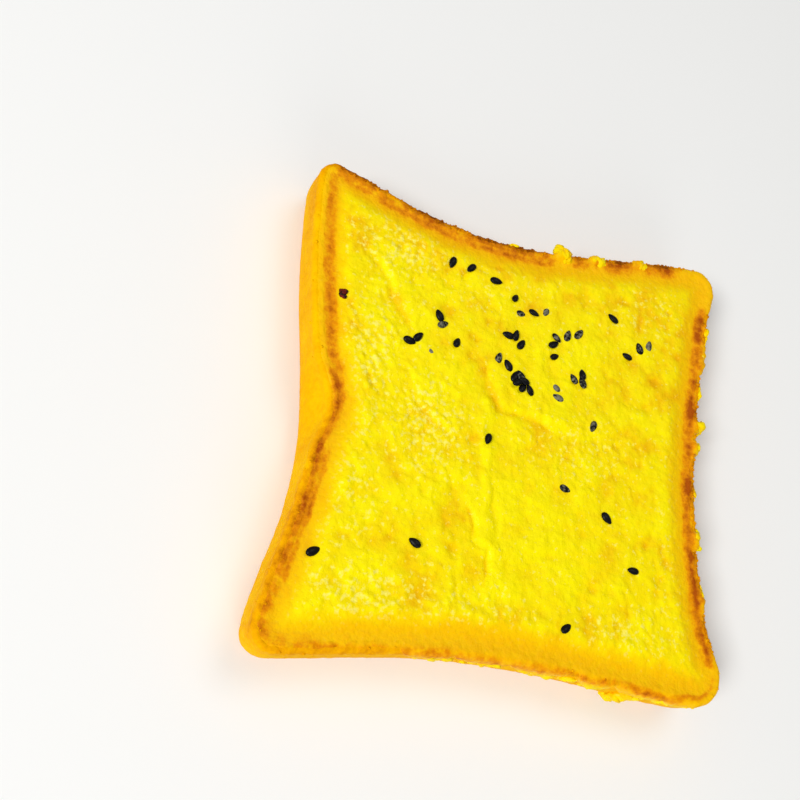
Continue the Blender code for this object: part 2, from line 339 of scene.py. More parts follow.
@dataclass
class Outline:
    """The slice seen from above: a spine, its outward directions and how far round they are."""

    corners: tuple[Corner, ...] = (
        Corner(-53.7, -56.3, 5.5),
        Corner(57.2, -56.0, 7.5),
        Corner(58.2, 57.2, 6.0),
        Corner(-53.5, 57.0, 5.0),
    )
    pinches: tuple[Pinch, ...] = (
        Pinch(4.0, 0.47, 1.3),
        Pinch(6.0, 0.42, 0.9),
        Pinch(8.0, 0.58, 1.1),
        Pinch(6.4, 0.62, 1.4),
    )
    side_steps: int = 200
    corner_steps: int = 32
    slope_reach: float = 0.01

    def __post_init__(self) -> None:
        """Lay out dense samples, starting in the middle of the near left corner."""
        rows = [self._side(side) for side in Side]
        turns = [self._corner(rows[side], rows[(side + 1) % 4]) for side in Side]
        half = self.corner_steps // 2
        ring = [turns[LEFT][half:]]
        for side in Side:
            ring += [rows[side], turns[side]]
        ring[-1] = ring[-1][:half]
        samples = np.concatenate(ring)
        edge = samples[:, 0:2] + samples[:, 2:4] * samples[:, 4:5]
        steps = np.linalg.norm(np.diff(edge, axis=0, append=edge[:1]), axis=1)
        self.samples = samples
        self.runs = np.concatenate(([0.0], np.cumsum(steps)[:-1]))
        self.length = float(steps.sum())
        first = [len(ring[0])]
        for side in Side:
            first.append(first[-1] + len(rows[side]) + self.corner_steps)
        self.side_runs = [
            self.runs[first[side] : first[side] + self.side_steps + 1] for side in Side
        ]
        middles = [start - self.corner_steps + half for start in first[1:4]]
        self.stops = [0.0, *(float(self.runs[place]) for place in middles), self.length]

    def _side(self, side: Side) -> Array:
        """Sample one side's spine.

        Args:
            side: which side.

        Returns:
            Rows of x, y, outward x, outward y and radius.
        """
        start, end = self.corners[side], self.corners[(side + 1) % 4]
        way = end.centre - start.centre
        pinch = self.pinches[side]
        inward = np.array([-way[1], way[0]]) / np.linalg.norm(way)
        along = np.linspace(0.0, 1.0, self.side_steps + 1)
        before = np.maximum(along - self.slope_reach, 0.0)
        after = np.minimum(along + self.slope_reach, 1.0)
        spines = []
        for places in (before, along, after):
            warped = places ** (log(0.5) / log(pinch.deepest))
            depth = pinch.depth * np.clip(np.sin(pi * warped), 0.0, 1.0) ** pinch.flare
            spines.append(start.centre + np.outer(places, way) + np.outer(depth, inward))
        slope = spines[2] - spines[0]
        slope /= np.linalg.norm(slope, axis=1, keepdims=True)
        radius = start.radius + (end.radius - start.radius) * along
        return np.column_stack([spines[1], slope[:, 1], -slope[:, 0], radius])

    def _corner(self, before: Array, after: Array) -> Array:
        """Turn from the end of one side to the start of the next.

        Args:
            before: samples of the side that ends here.
            after: samples of the side that starts here.

        Returns:
            Rows like a side's, between the two.
        """
        share = (np.arange(1, self.corner_steps + 1) / (self.corner_steps + 1))[:, None]
        turned = before[-1, 2:4] * (1.0 - share) + after[0, 2:4] * share
        turned /= np.linalg.norm(turned, axis=1, keepdims=True)
        still = np.repeat(before[-1:, 0:2], self.corner_steps, axis=0)
        radius = np.full(self.corner_steps, before[-1, 4])
        return np.column_stack([still, turned, radius])

    def at(self, run: Array) -> Array:
        """Samples at any places round the outline.

        Args:
            run: distances round it, in any range.

        Returns:
            Rows of x, y, outward x, outward y and radius.
        """
        found = [
            np.interp(run, self.runs, self.samples[:, column], period=self.length)
            for column in range(5)
        ]
        stretch = np.hypot(found[2], found[3])
        found[2] = found[2] / stretch
        found[3] = found[3] / stretch
        return np.stack(found, axis=-1)

    def run_of(self, side: Side, along: float) -> float:
        """How far round the outline a place along one side is.

        Args:
            side: the side.
            along: 0 at its start and 1 at its end, and beyond those on round the corners.

        Returns:
            The distance round the outline.
        """
        runs = self.side_runs[side]
        held = min(max(along, 0.0), 1.0)
        beyond = (along - held) * (runs[-1] - runs[0])
        return float(np.interp(held, np.linspace(0.0, 1.0, len(runs)), runs) + beyond)

    def apart(self, run: Array, place: float) -> Array:
        """The signed shorter way round from a place to each run."""
        return (run - place + self.length / 2) % self.length - self.length / 2


@dataclass
class CrustSection:
    """The upright section through the crust, walked outwards and down from the bed's edge."""

    crest_height: float = 15.4
    base_inset: float = 1.0
    base_round: float = 1.3
    bulge_height: float = 6.5
    shoulder_inset: float = 0.5
    crest_half_width: float = 1.3
    crest_round: float = 1.8
    bed_drop: float = 0.9
    bed_inset: float = 4.6
    steps: int = 40
    slope_reach: float = 0.25

    def __post_init__(self) -> None:
        """Lay out the path as offsets from the widest outline and heights."""
        crest = -self.shoulder_inset - self.crest_half_width
        wall_top = self.crest_height - self.crest_round
        turn = np.linspace(0.0, pi / 2, self.steps)
        cosine, sine = np.cos(turn), np.sin(turn)
        inner = np.column_stack(
            [crest - self.crest_half_width * cosine, self.bed_height + self.bed_drop * sine]
        )
        outer = np.column_stack(
            [crest + self.crest_half_width * sine, wall_top + self.crest_round * cosine]
        )
        height = np.linspace(wall_top, self.base_round, self.steps)
        rise = height - self.bulge_height
        above = np.clip(rise / (wall_top - self.bulge_height), 0, 1)
        below = np.clip(-rise / (self.bulge_height - self.base_round), 0, 1)
        bulge = -self.shoulder_inset * above**2 - self.base_inset * below**2
        wall = np.column_stack([bulge, height])
        foot = self.base_round * (1.0 - np.column_stack([cosine, sine]))
        foot[:, 0] = -self.base_inset - foot[:, 0]
        bed_edge = [(-self.bed_inset, self.bed_height)]
        path = np.concatenate([bed_edge, inner, outer[1:], wall[1:], foot[1:]])
        steps = np.linalg.norm(np.diff(path, axis=0), axis=1)
        self.path = path
        self.distances = np.concatenate(([0.0], np.cumsum(steps)))
        self.length = float(self.distances[-1])

    @property
    def bed_height(self) -> float:
        """The height of the bed that the butter lies in."""
        return self.crest_height - self.bed_drop

    def walk(self, distance: Array) -> tuple[Array, Array, Array, Array]:
        """Places on the path and the directions away from the bread there.

        Args:
            distance: distances from the bed's edge.

        Returns:
            Offsets, heights, and the across and up parts of the outward directions.
        """
        behind, here, ahead = (
            [np.interp(distance + step, self.distances, self.path[:, k]) for k in (0, 1)]
            for step in (-self.slope_reach, 0.0, self.slope_reach)
        )
        run, rise = ahead[0] - behind[0], ahead[1] - behind[1]
        stretch = np.maximum(np.hypot(run, rise), 1e-6)
        return here[0], here[1], -rise / stretch, run / stretch


@dataclass
class SliceForm:
    """The pinched slice as a surface: outline, section, dented wall and curled corners."""

    outline: Outline = field(default_factory=Outline)
    section: CrustSection = field(default_factory=CrustSection)
    corner_lift: float = 0.9
    firm_share: float = 0.35
    dent_side: Side = LEFT
    dent_along: float = 0.53
    dent_depth: float = 3.2
    dent_half_width: float = 8.0
    evenness: float = 0.6

    def __post_init__(self) -> None:
        """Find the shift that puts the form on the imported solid."""
        low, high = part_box("bread_slice")
        samples = self.outline.samples
        edge = samples[:, 0:2] + samples[:, 2:4] * samples[:, 4:5]
        middle = (edge.min(axis=0) + edge.max(axis=0)) / 2
        packed = np.array([low[0] + high[0], low[1] + high[1]]) / 2 / MM
        self.shift = packed - middle
        corner = self.outline.corners[0]
        self.far_reach = float(np.hypot(corner.x, corner.y))

    def lift(self, x: Array, y: Array) -> Array:
        """How far the slice curls up at a place, more towards its corners."""
        from_middle = np.hypot(x - self.shift[0], y - self.shift[1])
        return self.corner_lift * (from_middle / self.far_reach) ** 4

    def place(self, run: Array, distance: Array | float, away: Array | float = 0.0) -> Array:
        """Points on or above the crust.

        Args:
            run: distances round the outline.
            distance: distances from the bed's edge, outwards and down.
            away: distances out from the crust's surface.

        Returns:
            Rows of x, y and z.
        """
        spine = self.outline.at(run)
        offset, height, across, up = self.section.walk(distance)
        offset = offset + across * away
        height = height + up * away
        share = height / self.section.crest_height
        upper = ease((share - self.firm_share) / (1.0 - self.firm_share))
        dent_run = self.outline.run_of(self.dent_side, self.dent_along)
        apart = self.outline.apart(run, dent_run)
        reach = spine[..., 4] + offset - self.dent_depth * hump(apart, self.dent_half_width) * upper
        x = spine[..., 0] + spine[..., 2] * reach + self.shift[0]
        y = spine[..., 1] + spine[..., 3] * reach + self.shift[1]
        return np.stack([x, y, height + self.lift(x, y) * ease(share)], axis=-1)

    def ring(self, per_side: int, distance: float) -> Array:
        """Runs from corner to corner, the same number on each side.

        Args:
            per_side: how many runs each side has.
            distance: where on the crust the steps are to look even.

        Returns:
            The runs, whose steps are a compromise between this place and the widest outline.
        """
        runs = []
        for start, end in zip(self.outline.stops, self.outline.stops[1:]):
            dense = np.linspace(start, end, 6 * per_side)
            edge = self.place(dense, distance)
            steps = np.linalg.norm(np.diff(edge, axis=0), axis=1)
            passed = np.concatenate(([0.0], np.cumsum(steps))) / steps.sum()
            plain = (dense - start) / (end - start)
            even = (1.0 - self.evenness) * plain + self.evenness * passed
            runs.append(np.interp(np.arange(per_side) / per_side, even, dense))
        return np.concatenate(runs)


@dataclass
class Patch:
    """A four-cornered grid inside a ring, whose edge points are the ring's own."""

    ring: Array
    per_side: int
    first_inner: int

    def inner_points(self) -> Array:
        """Place the grid's inner points by blending its four edges.

        Returns:
            Rows of x and y, row by row from the near side.
        """
        count = self.per_side
        near, right = self.ring[: count + 1], self.ring[count : 2 * count + 1]
        far = self.ring[2 * count : 3 * count + 1][::-1]
        left = np.concatenate([self.ring[3 * count :], self.ring[:1]])[::-1]
        u = np.linspace(0.0, 1.0, count + 1)[None, 1:-1, None]
        v = np.linspace(0.0, 1.0, count + 1)[1:-1, None, None]
        sides = (1 - v) * near[None, 1:-1] + v * far[None, 1:-1]
        sides = sides + (1 - u) * left[1:-1, None] + u * right[1:-1, None]
        corners = (1 - u) * (1 - v) * near[0] + u * (1 - v) * near[-1]
        corners = corners + (1 - u) * v * far[0] + u * v * far[-1]
        return (sides - corners).reshape(-1, 2)

    def faces(self, ring_start: int, upward: bool) -> Array:
        """Number the grid's faces.

        Args:
            ring_start: the number of the ring's first point.
            upward: whether the faces look up.

        Returns:
            Rows of four point numbers.
        """
        count = self.per_side
        ids = np.empty((count + 1, count + 1), dtype=int)
        steps = ring_start + np.arange(4 * count)
        ids[0, :] = steps[: count + 1]
        ids[:, count] = steps[count : 2 * count + 1]
        ids[count, :] = steps[2 * count : 3 * count + 1][::-1]
        ids[1:, 0] = steps[3 * count :][::-1]
        ids[1:-1, 1:-1] = self.first_inner + np.arange((count - 1) ** 2).reshape(count - 1, -1)
        quads = np.stack([ids[:-1, :-1], ids[:-1, 1:], ids[1:, 1:], ids[1:, :-1]], axis=-1)
        quads = quads.reshape(-1, 4)
        return quads if upward else quads[:, ::-1]


def tube_faces(rows: int, count: int, start: int = 0) -> Array:
    """Faces between rings that lie one after another, outside on the right of the way up.

    Args:
        rows: how many rings.
        count: points in each ring.
        start: the number of the first ring's first point.

    Returns:
        Rows of four point numbers.
    """
    row = np.arange(rows - 1)[:, None] * count + start
    place = np.arange(count)[None, :]
    after = (place + 1) % count
    quads = np.stack([row + place, row + after, row + count + after, row + count + place], -1)
    return quads.reshape(-1, 4)


def fan_faces(first: int, count: int, pole: int, upward: bool) -> list[tuple[int, int, int]]:
    """Triangles from a ring to a point in its middle."""
    steps = [(first + k, first + (k + 1) % count, pole) for k in range(count)]
    return steps if upward else [step[::-1] for step in steps]


# ---------------------------------------------------------------- finishes


@dataclass(frozen=True)
class Finish:
    """What every finish here has: a name, and how its surface throws light back."""

    name: str
    roughness: float
    ior: float
    specular: float

    def begin(self) -> tuple[NodeTree, Node, NodeSocket]:
        """Start a material.

        Returns:
            Its tree, its Principled shader and its Object coordinates.
        """
        made = bpy.data.materials.new(self.name)
        made.use_nodes = True
        tree = made.node_tree
        tree.nodes.clear()
        gloss = {"Roughness": self.roughness, "IOR": self.ior, "Specular IOR Level": self.specular}
        shader = add_node(tree, "ShaderNodeBsdfPrincipled", gloss)
        add_node(tree, "ShaderNodeOutputMaterial", links={"Surface": shader})
        place = add_node(tree, "ShaderNodeTexCoord").outputs["Object"]
        return tree, shader, place

    def end(self, shader: Node, colour: NodeSocket, bump: Node | None) -> Material:
        """Link what a material worked out to its shader.

        Args:
            shader: the Principled shader.
            colour: the socket that gives its colour.
            bump: the node that gives its small relief, if it has any.

        Returns:
            The material.
        """
        shader.id_data.links.new(colour, shader.inputs["Base Color"])
        if bump:
            shader.id_data.links.new(bump.outputs[0], shader.inputs["Normal"])
        return bpy.data.materials[self.name]


@dataclass(frozen=True)
class ButterFinish(Finish):
    """Salted butter beaten with egg yolk and spread soft: a saturated yellow, satin film
    with pale flecks, which are partly fat grains and partly painted glints, that turns orange
    where it thins out and bakes at its rim. Its grains are drawn a few times coarser than
    real ones, because those are too fine to show."""

    name: str = "spread_butter"
    roughness: float = 0.42
    ior: float = 1.45
    specular: float = 0.07
    bright: str = "#FFEE00"
    plain: str = "#FCDF00"
    deep: str = "#F3B800"
    rim: str = "#FBBC00"
    baked: str = "#E89000"
    dark: str = "#AC5000"
    # Pale cream of the flecks, which are partly fat grains and partly painted glints.
    grain: str = "#FFF066"
    mottle_mm: float = 7.0
    curd_mm: float = 1.5
    crumb_mm: float = 2.2
    fleck_mm: float = 1.05
    mottle_share: float = 0.7
    cream_share: float = 0.15
    curd_share: float = 0.3
    toast_gain: float = 1.15
    granule_share: float = 0.36
    relief_mm: float = 0.5

    def make(self) -> Material:
        """Build the butter's material.

        Returns:
            The material.
        """
        tree, shader, place = self.begin()
        noises = (
            (self.mottle_mm, 5.0, 0.6),
            (self.curd_mm, 3.0, 0.6),
            (self.fleck_mm, 2.0, 0.5),
            (self.crumb_mm, 5.0, 0.72),
        )
        mottle, curd, fleck, crumb = (
            add_node(
                tree, "ShaderNodeTexNoise",
                {"Scale": per_metre(size), "Detail": detail, "Roughness": rough}, {"Vector": place},
            )
            for size, detail, rough in noises
        )
        warm, cream, rim, toast = (
            add_node(tree, "ShaderNodeAttribute", {"attribute_name": name}).outputs["Fac"]
            for name in ("warm", "cream", "rim", "toast")
        )
        spread = add_node(
            tree, "ShaderNodeMapRange", {"From Min": 0.3, "From Max": 0.7, "clamp": False},
            {"Value": mottle},
        )
        # Warmth turns the yellow orange; it holds painted shade in the relief's hollows besides the
        # butter's own warmer patches.
        warmth = add_node(
            tree, "ShaderNodeMath", {"operation": "MULTIPLY_ADD", 1: self.mottle_share},
            {0: spread, 2: warm},
        )
        body = add_node(
            tree, "ShaderNodeValToRGB",
            {"stops": ((0.1, self.bright), (0.55, self.plain), (1.0, self.deep))}, {"Fac": warmth},
        )
        # Pale flecks where the face is grained: partly fat grains, partly painted glints.
        speck = add_node(
            tree, "ShaderNodeMath", {"operation": "MULTIPLY_ADD", 1: self.cream_share},
            {0: cream, 2: fleck},
        )
        paler = add_node(
            tree, "ShaderNodeMapRange", {"From Min": 0.63, "From Max": 0.80}, {"Value": speck},
        )
        grained = add_node(
            tree, "ShaderNodeMix", {"data_type": "RGBA", 7: linear(self.grain)},
            {0: paler, 6: body},
        )
        rim_step = add_node(
            tree, "ShaderNodeMath", {"operation": "MULTIPLY_ADD", 1: self.curd_share},
            {0: curd, 2: rim},
        )
        rim_shade = add_node(
            tree, "ShaderNodeMapRange", {"From Min": 0.2, "From Max": 0.7}, {"Value": rim_step},
        )
        rimmed = add_node(
            tree, "ShaderNodeMix", {"data_type": "RGBA", 7: linear(self.rim)},
            {0: rim_shade, 6: grained.outputs[2]},
        )
        reach = {"To Min": -self.granule_share, "To Max": self.granule_share}
        granule = add_node(
            tree, "ShaderNodeMapRange", {"From Min": 0.3, "From Max": 0.7, "clamp": False, **reach},
            {"Value": crumb},
        )
        toast_shade = add_node(
            tree, "ShaderNodeMath", {"operation": "MULTIPLY_ADD", 1: self.toast_gain},
            {0: toast, 2: granule},
        )
        crust = add_node(
            tree, "ShaderNodeValToRGB",
            {"stops": ((0.0, self.rim), (0.4, self.baked), (0.9, self.dark))}, {"Fac": toast_shade},
        )
        thin = add_node(
            tree, "ShaderNodeMapRange", {"From Min": 0.03, "From Max": 0.22}, {"Value": toast},
        )
        baked = add_node(
            tree, "ShaderNodeMix", {"data_type": "RGBA"}, {0: thin, 6: rimmed.outputs[2], 7: crust},
        )
        bump = add_node(
            tree, "ShaderNodeBump", {"Strength": 0.7, "Distance": self.relief_mm * MM},
            {"Height": curd},
        )
        return self.end(shader, baked.outputs[2], bump)


@dataclass(frozen=True)
class CrustFinish(Finish):
    """Baked wheat crust brushed with butter: golden orange where fat soaked in, through
    brown to near black along the crest, dry and slightly rough, with fine blisters."""

    name: str = "baked_crust"
    roughness: float = 0.6
    ior: float = 1.45
    specular: float = 0.02
    soaked: str = "#FCC400"
    golden: str = "#F4AA00"
    brown: str = "#E09204"
    dark: str = "#B86A04"
    burnt: str = "#844406"
    crumb: str = "#E8B44C"
    pore: str = "#F3D78A"
    blister_mm: float = 1.3
    patch_mm: float = 7.0
    speckle_least: float = 0.14
    speckle_gain: float = 0.5
    patch_share: float = 0.3
    relief_mm: float = 0.45

    def make(self) -> Material:
        """Build the crust's material.

        Returns:
            The material.
        """
        tree, shader, place = self.begin()
        blister, patch = (
            add_node(
                tree, "ShaderNodeTexNoise",
                {"Scale": per_metre(size), "Detail": detail, "Roughness": rough}, {"Vector": place},
            )
            for size, detail, rough in ((self.blister_mm, 4.0, 0.65), (self.patch_mm, 2.0, 0.5))
        )
        browning, pore, inside = (
            add_node(tree, "ShaderNodeAttribute", {"attribute_name": name}).outputs["Fac"]
            for name in ("browning", "pore", "crumb")
        )
        speckle = add_node(
            tree, "ShaderNodeMapRange",
            {"From Min": 0.3, "From Max": 0.7, "To Min": -0.5, "To Max": 0.5, "clamp": False},
            {"Value": blister},
        )
        contrast = add_node(
            tree, "ShaderNodeMath",
            {"operation": "MULTIPLY_ADD", 1: self.speckle_gain, 2: self.speckle_least},
            {0: browning},
        )
        fine = add_node(
            tree, "ShaderNodeMath", {"operation": "MULTIPLY_ADD"},
            {0: speckle, 1: contrast, 2: browning},
        )
        broad = add_node(
            tree, "ShaderNodeMath", {"operation": "MULTIPLY_ADD", 1: self.patch_share},
            {0: patch, 2: fine},
        )
        level = add_node(
            tree, "ShaderNodeMath", {"operation": "SUBTRACT", 1: self.patch_share / 2}, {0: broad},
        )
        stops = (
            (0.0, self.soaked),
            (0.28, self.golden),
            (0.52, self.brown),
            (0.76, self.dark),
            (1.0, self.burnt),
        )
        crust = add_node(tree, "ShaderNodeValToRGB", {"stops": stops}, {"Fac": level})
        crumb = add_node(
            tree, "ShaderNodeMix",
            {"data_type": "RGBA", 6: linear(self.crumb), 7: linear(self.pore)}, {0: pore},
        )
        toasted = add_node(
            tree, "ShaderNodeMapRange", {"From Min": 0.18, "From Max": 0.63, "To Max": 0.75},
            {"Value": broad},
        )
        toasted_crumb = add_node(
            tree, "ShaderNodeMix", {"data_type": "RGBA", 7: linear(self.brown)},
            {0: toasted, 6: crumb.outputs[2]},
        )
        colour = add_node(
            tree, "ShaderNodeMix", {"data_type": "RGBA"},
            {0: inside, 6: crust, 7: toasted_crumb.outputs[2]},
        )
        bump = add_node(
            tree, "ShaderNodeBump", {"Strength": 0.8, "Distance": self.relief_mm * MM},
            {"Height": blister},
        )
        return self.end(shader, colour.outputs[2], bump)


@dataclass(frozen=True)
class SeedFinish(Finish):
    """Black sesame: a matt black seed coat with a faint blue cast, with grey patches that are
    partly a film of fat where butter has climbed over it and partly painted highlights."""

    name: str = "black_sesame"
    roughness: float = 0.4
    ior: float = 1.5
    specular: float = 0.16
    coat: str = "#060608"
    # Grey of the patches on the seeds: partly a film of fat, partly painted highlights.
    film: str = "#94917A"
    film_mm: float = 0.7
    ridge_mm: float = 0.35
    relief_mm: float = 0.05

    def make(self) -> Material:
        """Build the seeds' material.

        Returns:
            The material.
        """
        tree, shader, place = self.begin()
        film_and_highlight_cloud, ridges = (
            add_node(
                tree, "ShaderNodeTexNoise", {"Scale": per_metre(size), "Detail": detail},
                {"Vector": place},
            )
            for size, detail in ((self.film_mm, 2.0), (self.ridge_mm, 1.0))
        )
        film = add_node(tree, "ShaderNodeAttribute", {"attribute_name": "film"}).outputs["Fac"]
        cover = add_node(tree, "ShaderNodeMath", {"operation": "ADD"}, {0: film_and_highlight_cloud, 1: film})
        amount = add_node(
            tree, "ShaderNodeMapRange", {"From Min": 0.95, "From Max": 1.2, "To Max": 0.7},
            {"Value": cover},
        )
        colour = add_node(
            tree, "ShaderNodeMix",
            {"data_type": "RGBA", 6: linear(self.coat), 7: linear(self.film)}, {0: amount},
        )
        bump = add_node(
            tree, "ShaderNodeBump", {"Strength": 0.25, "Distance": self.relief_mm * MM},
            {"Height": ridges},
        )
        return self.end(shader, colour.outputs[2], bump)


@dataclass(frozen=True)
class CharFinish(Finish):
    """Charred crumb, baked until it went dark red-brown, with near black pits."""

    name: str = "charred_crumb"
    roughness: float = 0.5
    ior: float = 1.45
    specular: float = 0.2
    pit: str = "#2A0604"
    ridge: str = "#7E1A0E"
    pit_mm: float = 0.8

    def make(self) -> Material:
        """Build the charred crumb's material.

        Returns:
            The material.
        """
        tree, shader, place = self.begin()
        pits = add_node(
            tree, "ShaderNodeTexNoise", {"Scale": per_metre(self.pit_mm), "Detail": 3.0},
            {"Vector": place},
        )
        colour = add_node(
            tree, "ShaderNodeValToRGB", {"stops": ((0.4, self.pit), (0.62, self.ridge))},
            {"Fac": pits},
        )
        return self.end(shader, colour.outputs[0], None)


@dataclass(frozen=True)
class FloorFinish(Finish):
    """Matt white studio paper, plain and pale."""

    name: str = "backdrop_paper"
    roughness: float = 0.9
    ior: float = 1.5
    specular: float = 0.1
    colour: str = "#F7F7F5"

    def make(self) -> Material:
        """Build the floor's material.

        Returns:
            The material.
        """
        _, shader, _ = self.begin()
        shader.inputs["Base Color"].default_value = linear(self.colour)
        return bpy.data.materials[self.name]


# ---------------------------------------------------------------- bread


@dataclass(frozen=True)
class BrownSpan:
    """A browned stretch of the crest: where it starts and ends, how far out from the bed's
    edge its middle lies at both ends, how wide and how dark it is."""

    side: Side
    start: float
    end: float
    centres: tuple[float, float]
    half_width: float
    darkness: float
    roughness: float = 1.0


@dataclass
class CrustTone:
    """How brown and how rough the crust is at each place."""

    form: SliceForm
    side_tones: tuple[float, ...] = (0.12, 0.42, 0.50, 0.10)
    corner_blend: float = 9.0
    span_blend: float = 7.0
    drift_mm: float = 9.0
    drift_brown: float = 0.08
    streak_brown: float = 0.06
    patch_mm: float = 6.0
    foot_brown: float = 0.22
    foot_at: float = 13.0
    least_rough: float = 0.3
    crumb_shares: tuple[float, ...] = (0.1, 1.0, 1.0, 0.12)
    spans: tuple[BrownSpan, ...] = (
        BrownSpan(NEAR, -0.12, 0.10, (2.8, 3.4), 2.8, 0.26),
        BrownSpan(NEAR, -0.02, 0.35, (3.4, 4.4), 1.8, 0.27, 0.8),
        BrownSpan(NEAR, 0.30, 0.64, (4.6, 4.8), 1.8, 0.29),
        BrownSpan(NEAR, 0.60, 0.82, (4.4, 3.5), 1.0, 0.50),
        BrownSpan(NEAR, 0.80, 0.96, (3.4, 4.6), 0.9, 0.54),
        BrownSpan(NEAR, 0.94, 1.12, (3.2, 1.4), 0.9, 0.36, 0.4),
        BrownSpan(RIGHT, 0.015, 0.94, (1.7, 1.5), 1.8, 0.66, 1.2),
        BrownSpan(RIGHT, 0.0, 0.10, (1.8, 1.8), 1.4, 0.88, 1.2),
        BrownSpan(FAR, 0.06, 0.45, (2.2, 2.3), 2.3, 0.58, 1.2),
        BrownSpan(FAR, 0.40, 1.03, (2.8, 2.8), 3.4, 0.44),
        BrownSpan(FAR, 0.42, 0.97, (0.6, 0.6), 1.1, 0.46, 0.8),
        BrownSpan(LEFT, -0.12, 0.14, (5.0, 8.0), 3.2, 0.20, 0.4),
        BrownSpan(LEFT, -0.05, 0.47, (0.3, -0.4), 1.4, 0.42, 0.5),
        BrownSpan(LEFT, 0.45, 0.62, (1.0, 2.6), 1.6, 0.54, 0.6),
        BrownSpan(LEFT, 0.59, 0.73, (3.0, 2.1), 1.5, 0.64, 0.8),
        BrownSpan(LEFT, 0.64, 0.92, (0.3, 0.8), 0.8, 0.44, 0.5),
        BrownSpan(LEFT, 0.66, 0.98, (2.4, 2.8), 1.9, 0.52, 0.6),
        BrownSpan(LEFT, 0.70, 1.10, (5.0, 5.2), 2.6, 0.20, 0.9),
    )

    def side_shares(self, run: Array) -> Array:
        """How much each point belongs to each side, blending round the corners.

        Args:
            run: distances round the outline.

        Returns:
            Four shares for each point, which add up to 1.
        """
        outline = self.form.outline
        shares = []
        for side in Side:
            start, end = outline.stops[side], outline.stops[side + 1]
            apart = np.abs(outline.apart(run, (start + end) / 2))
            within = ((end - start) / 2 - apart) / self.corner_blend
            shares.append(np.clip(within + 0.5, 0.0, 1.0))
        total = np.stack(shares, axis=-1)
        return total / total.sum(axis=-1, keepdims=True)

    def window(self, span: BrownSpan, run: Array) -> Array:
        """Where a span lies round the outline, with soft ends.

        Args:
            span: the browned stretch.
            run: distances round the outline.

        Returns:
            From 0, outside it, to 1, well inside.
        """
        outline = self.form.outline
        start, end = (outline.run_of(span.side, place) for place in (span.start, span.end))
        apart = np.abs(outline.apart(run, (start + end) / 2))
        return ease(((end - start) / 2 - apart) / self.span_blend + 0.5)

    def roughness(self, run: Array) -> Array:
        """How rough and crumbly the crust is.

        Args:
            run: distances round the outline.

        Returns:
            One value for each point.
        """
        rough = np.full_like(run, self.least_rough)
        for span in self.spans:
            rough = np.maximum(rough, span.roughness * self.window(span, run))
        return rough

    def streaks(self, run: Array, distance: Array) -> Array:
        """Noise that is drawn out down the wall."""
        return Noise(12).fractal(np.stack([run, distance * 0.35, distance * 0.0], -1), 2.2, 2)

    def strip(self, run: Array, distance: Array, points: Array) -> Array:
        """How brown the strip along the crest is.

        Args:
            run: distances round the outline.
            distance: distances from the bed's edge.
            points: the points themselves, for the noise.

        Returns:
            One value for each point.
        """
        noise = Noise(11)
        drift = noise.fractal(points, self.drift_mm, 3)
        patches = 0.95 + 0.75 * noise.fractal(points + 90.0, self.patch_mm, 3)
        streaks = self.streaks(run, distance)
        total = np.zeros_like(run)
        for span in self.spans:
            first, last = (self.form.outline.run_of(span.side, at) for at in (span.start, span.end))
            share = np.clip(self.form.outline.apart(run, first) / (last - first), 0.0, 1.0)
            centre = span.centres[0] + share * (span.centres[1] - span.centres[0])
            across = distance - centre - 0.6 * drift - 0.4 * streaks
            amount = span.darkness * (patches + 0.4 * span.roughness * streaks)
            amount = amount * hump(across, span.half_width) * self.window(span, run)
            total = np.maximum(total, amount)
        return total

    def browning(self, run: Array, distance: Array, points: Array) -> Array:
        """How brown the crust is, from 0, soaked gold, to 1, burnt.

        Args:
            run: distances round the outline.
            distance: distances from the bed's edge.
            points: the points themselves, for the noise.

        Returns:
            One value for each point.
        """
        wall = self.side_shares(run) @ np.array(self.side_tones) * ease((distance - 1.0) / 4.0)
        foot = self.foot_brown * ease((distance - self.foot_at) / 6.0)
        drift = self.drift_brown * Noise(11).fractal(points, self.drift_mm, 3)
        drift += self.streak_brown * self.streaks(run, distance)
        return np.clip(wall + self.strip(run, distance, points) + foot + drift, 0.0, 1.0)


@dataclass
class CrustRelief:
    """The crust's unevenness: waves, pebbles, streaks and a crumbled crest."""

    form: SliceForm
    tone: CrustTone
    wobble: float = 0.16
    pebble: float = 0.14
    crest_crumble: float = 0.50
    streak: float = 0.10
    sunk: float = 0.05
    keep_inside: float = 0.28
    wobble_mm: float = 12.0
    pebble_mm: float = 1.9
    crumble_mm: float = 1.6
    crest_at: float = 3.4
    crest_half_width: float = 2.8

    def away(self, run: Array, distance: Array) -> Array:
        """How far out from the plain form the crust's surface lies.

        Args:
            run: distances round the outline.
            distance: distances from the bed's edge.

        Returns:
            One value for each point, mostly a little below nothing.
        """
        flat = self.form.place(run, distance)
        noise = Noise(5)
        rough = self.tone.roughness(run)
        nearest, _ = noise.cells(flat, self.crumble_mm)
        crest = hump(distance - self.crest_at, self.crest_half_width)
        relief = self.wobble * noise.fractal(flat, self.wobble_mm, 2)
        relief += self.pebble * rough * noise.fractal(flat, self.pebble_mm, 2)
        relief += self.streak * rough * self.tone.streaks(run, distance)
        relief += self.crest_crumble * rough * crest * (0.5 - nearest)
        return relief - self.sunk - self.keep_inside * ease((distance - 4.0) / 4.0)


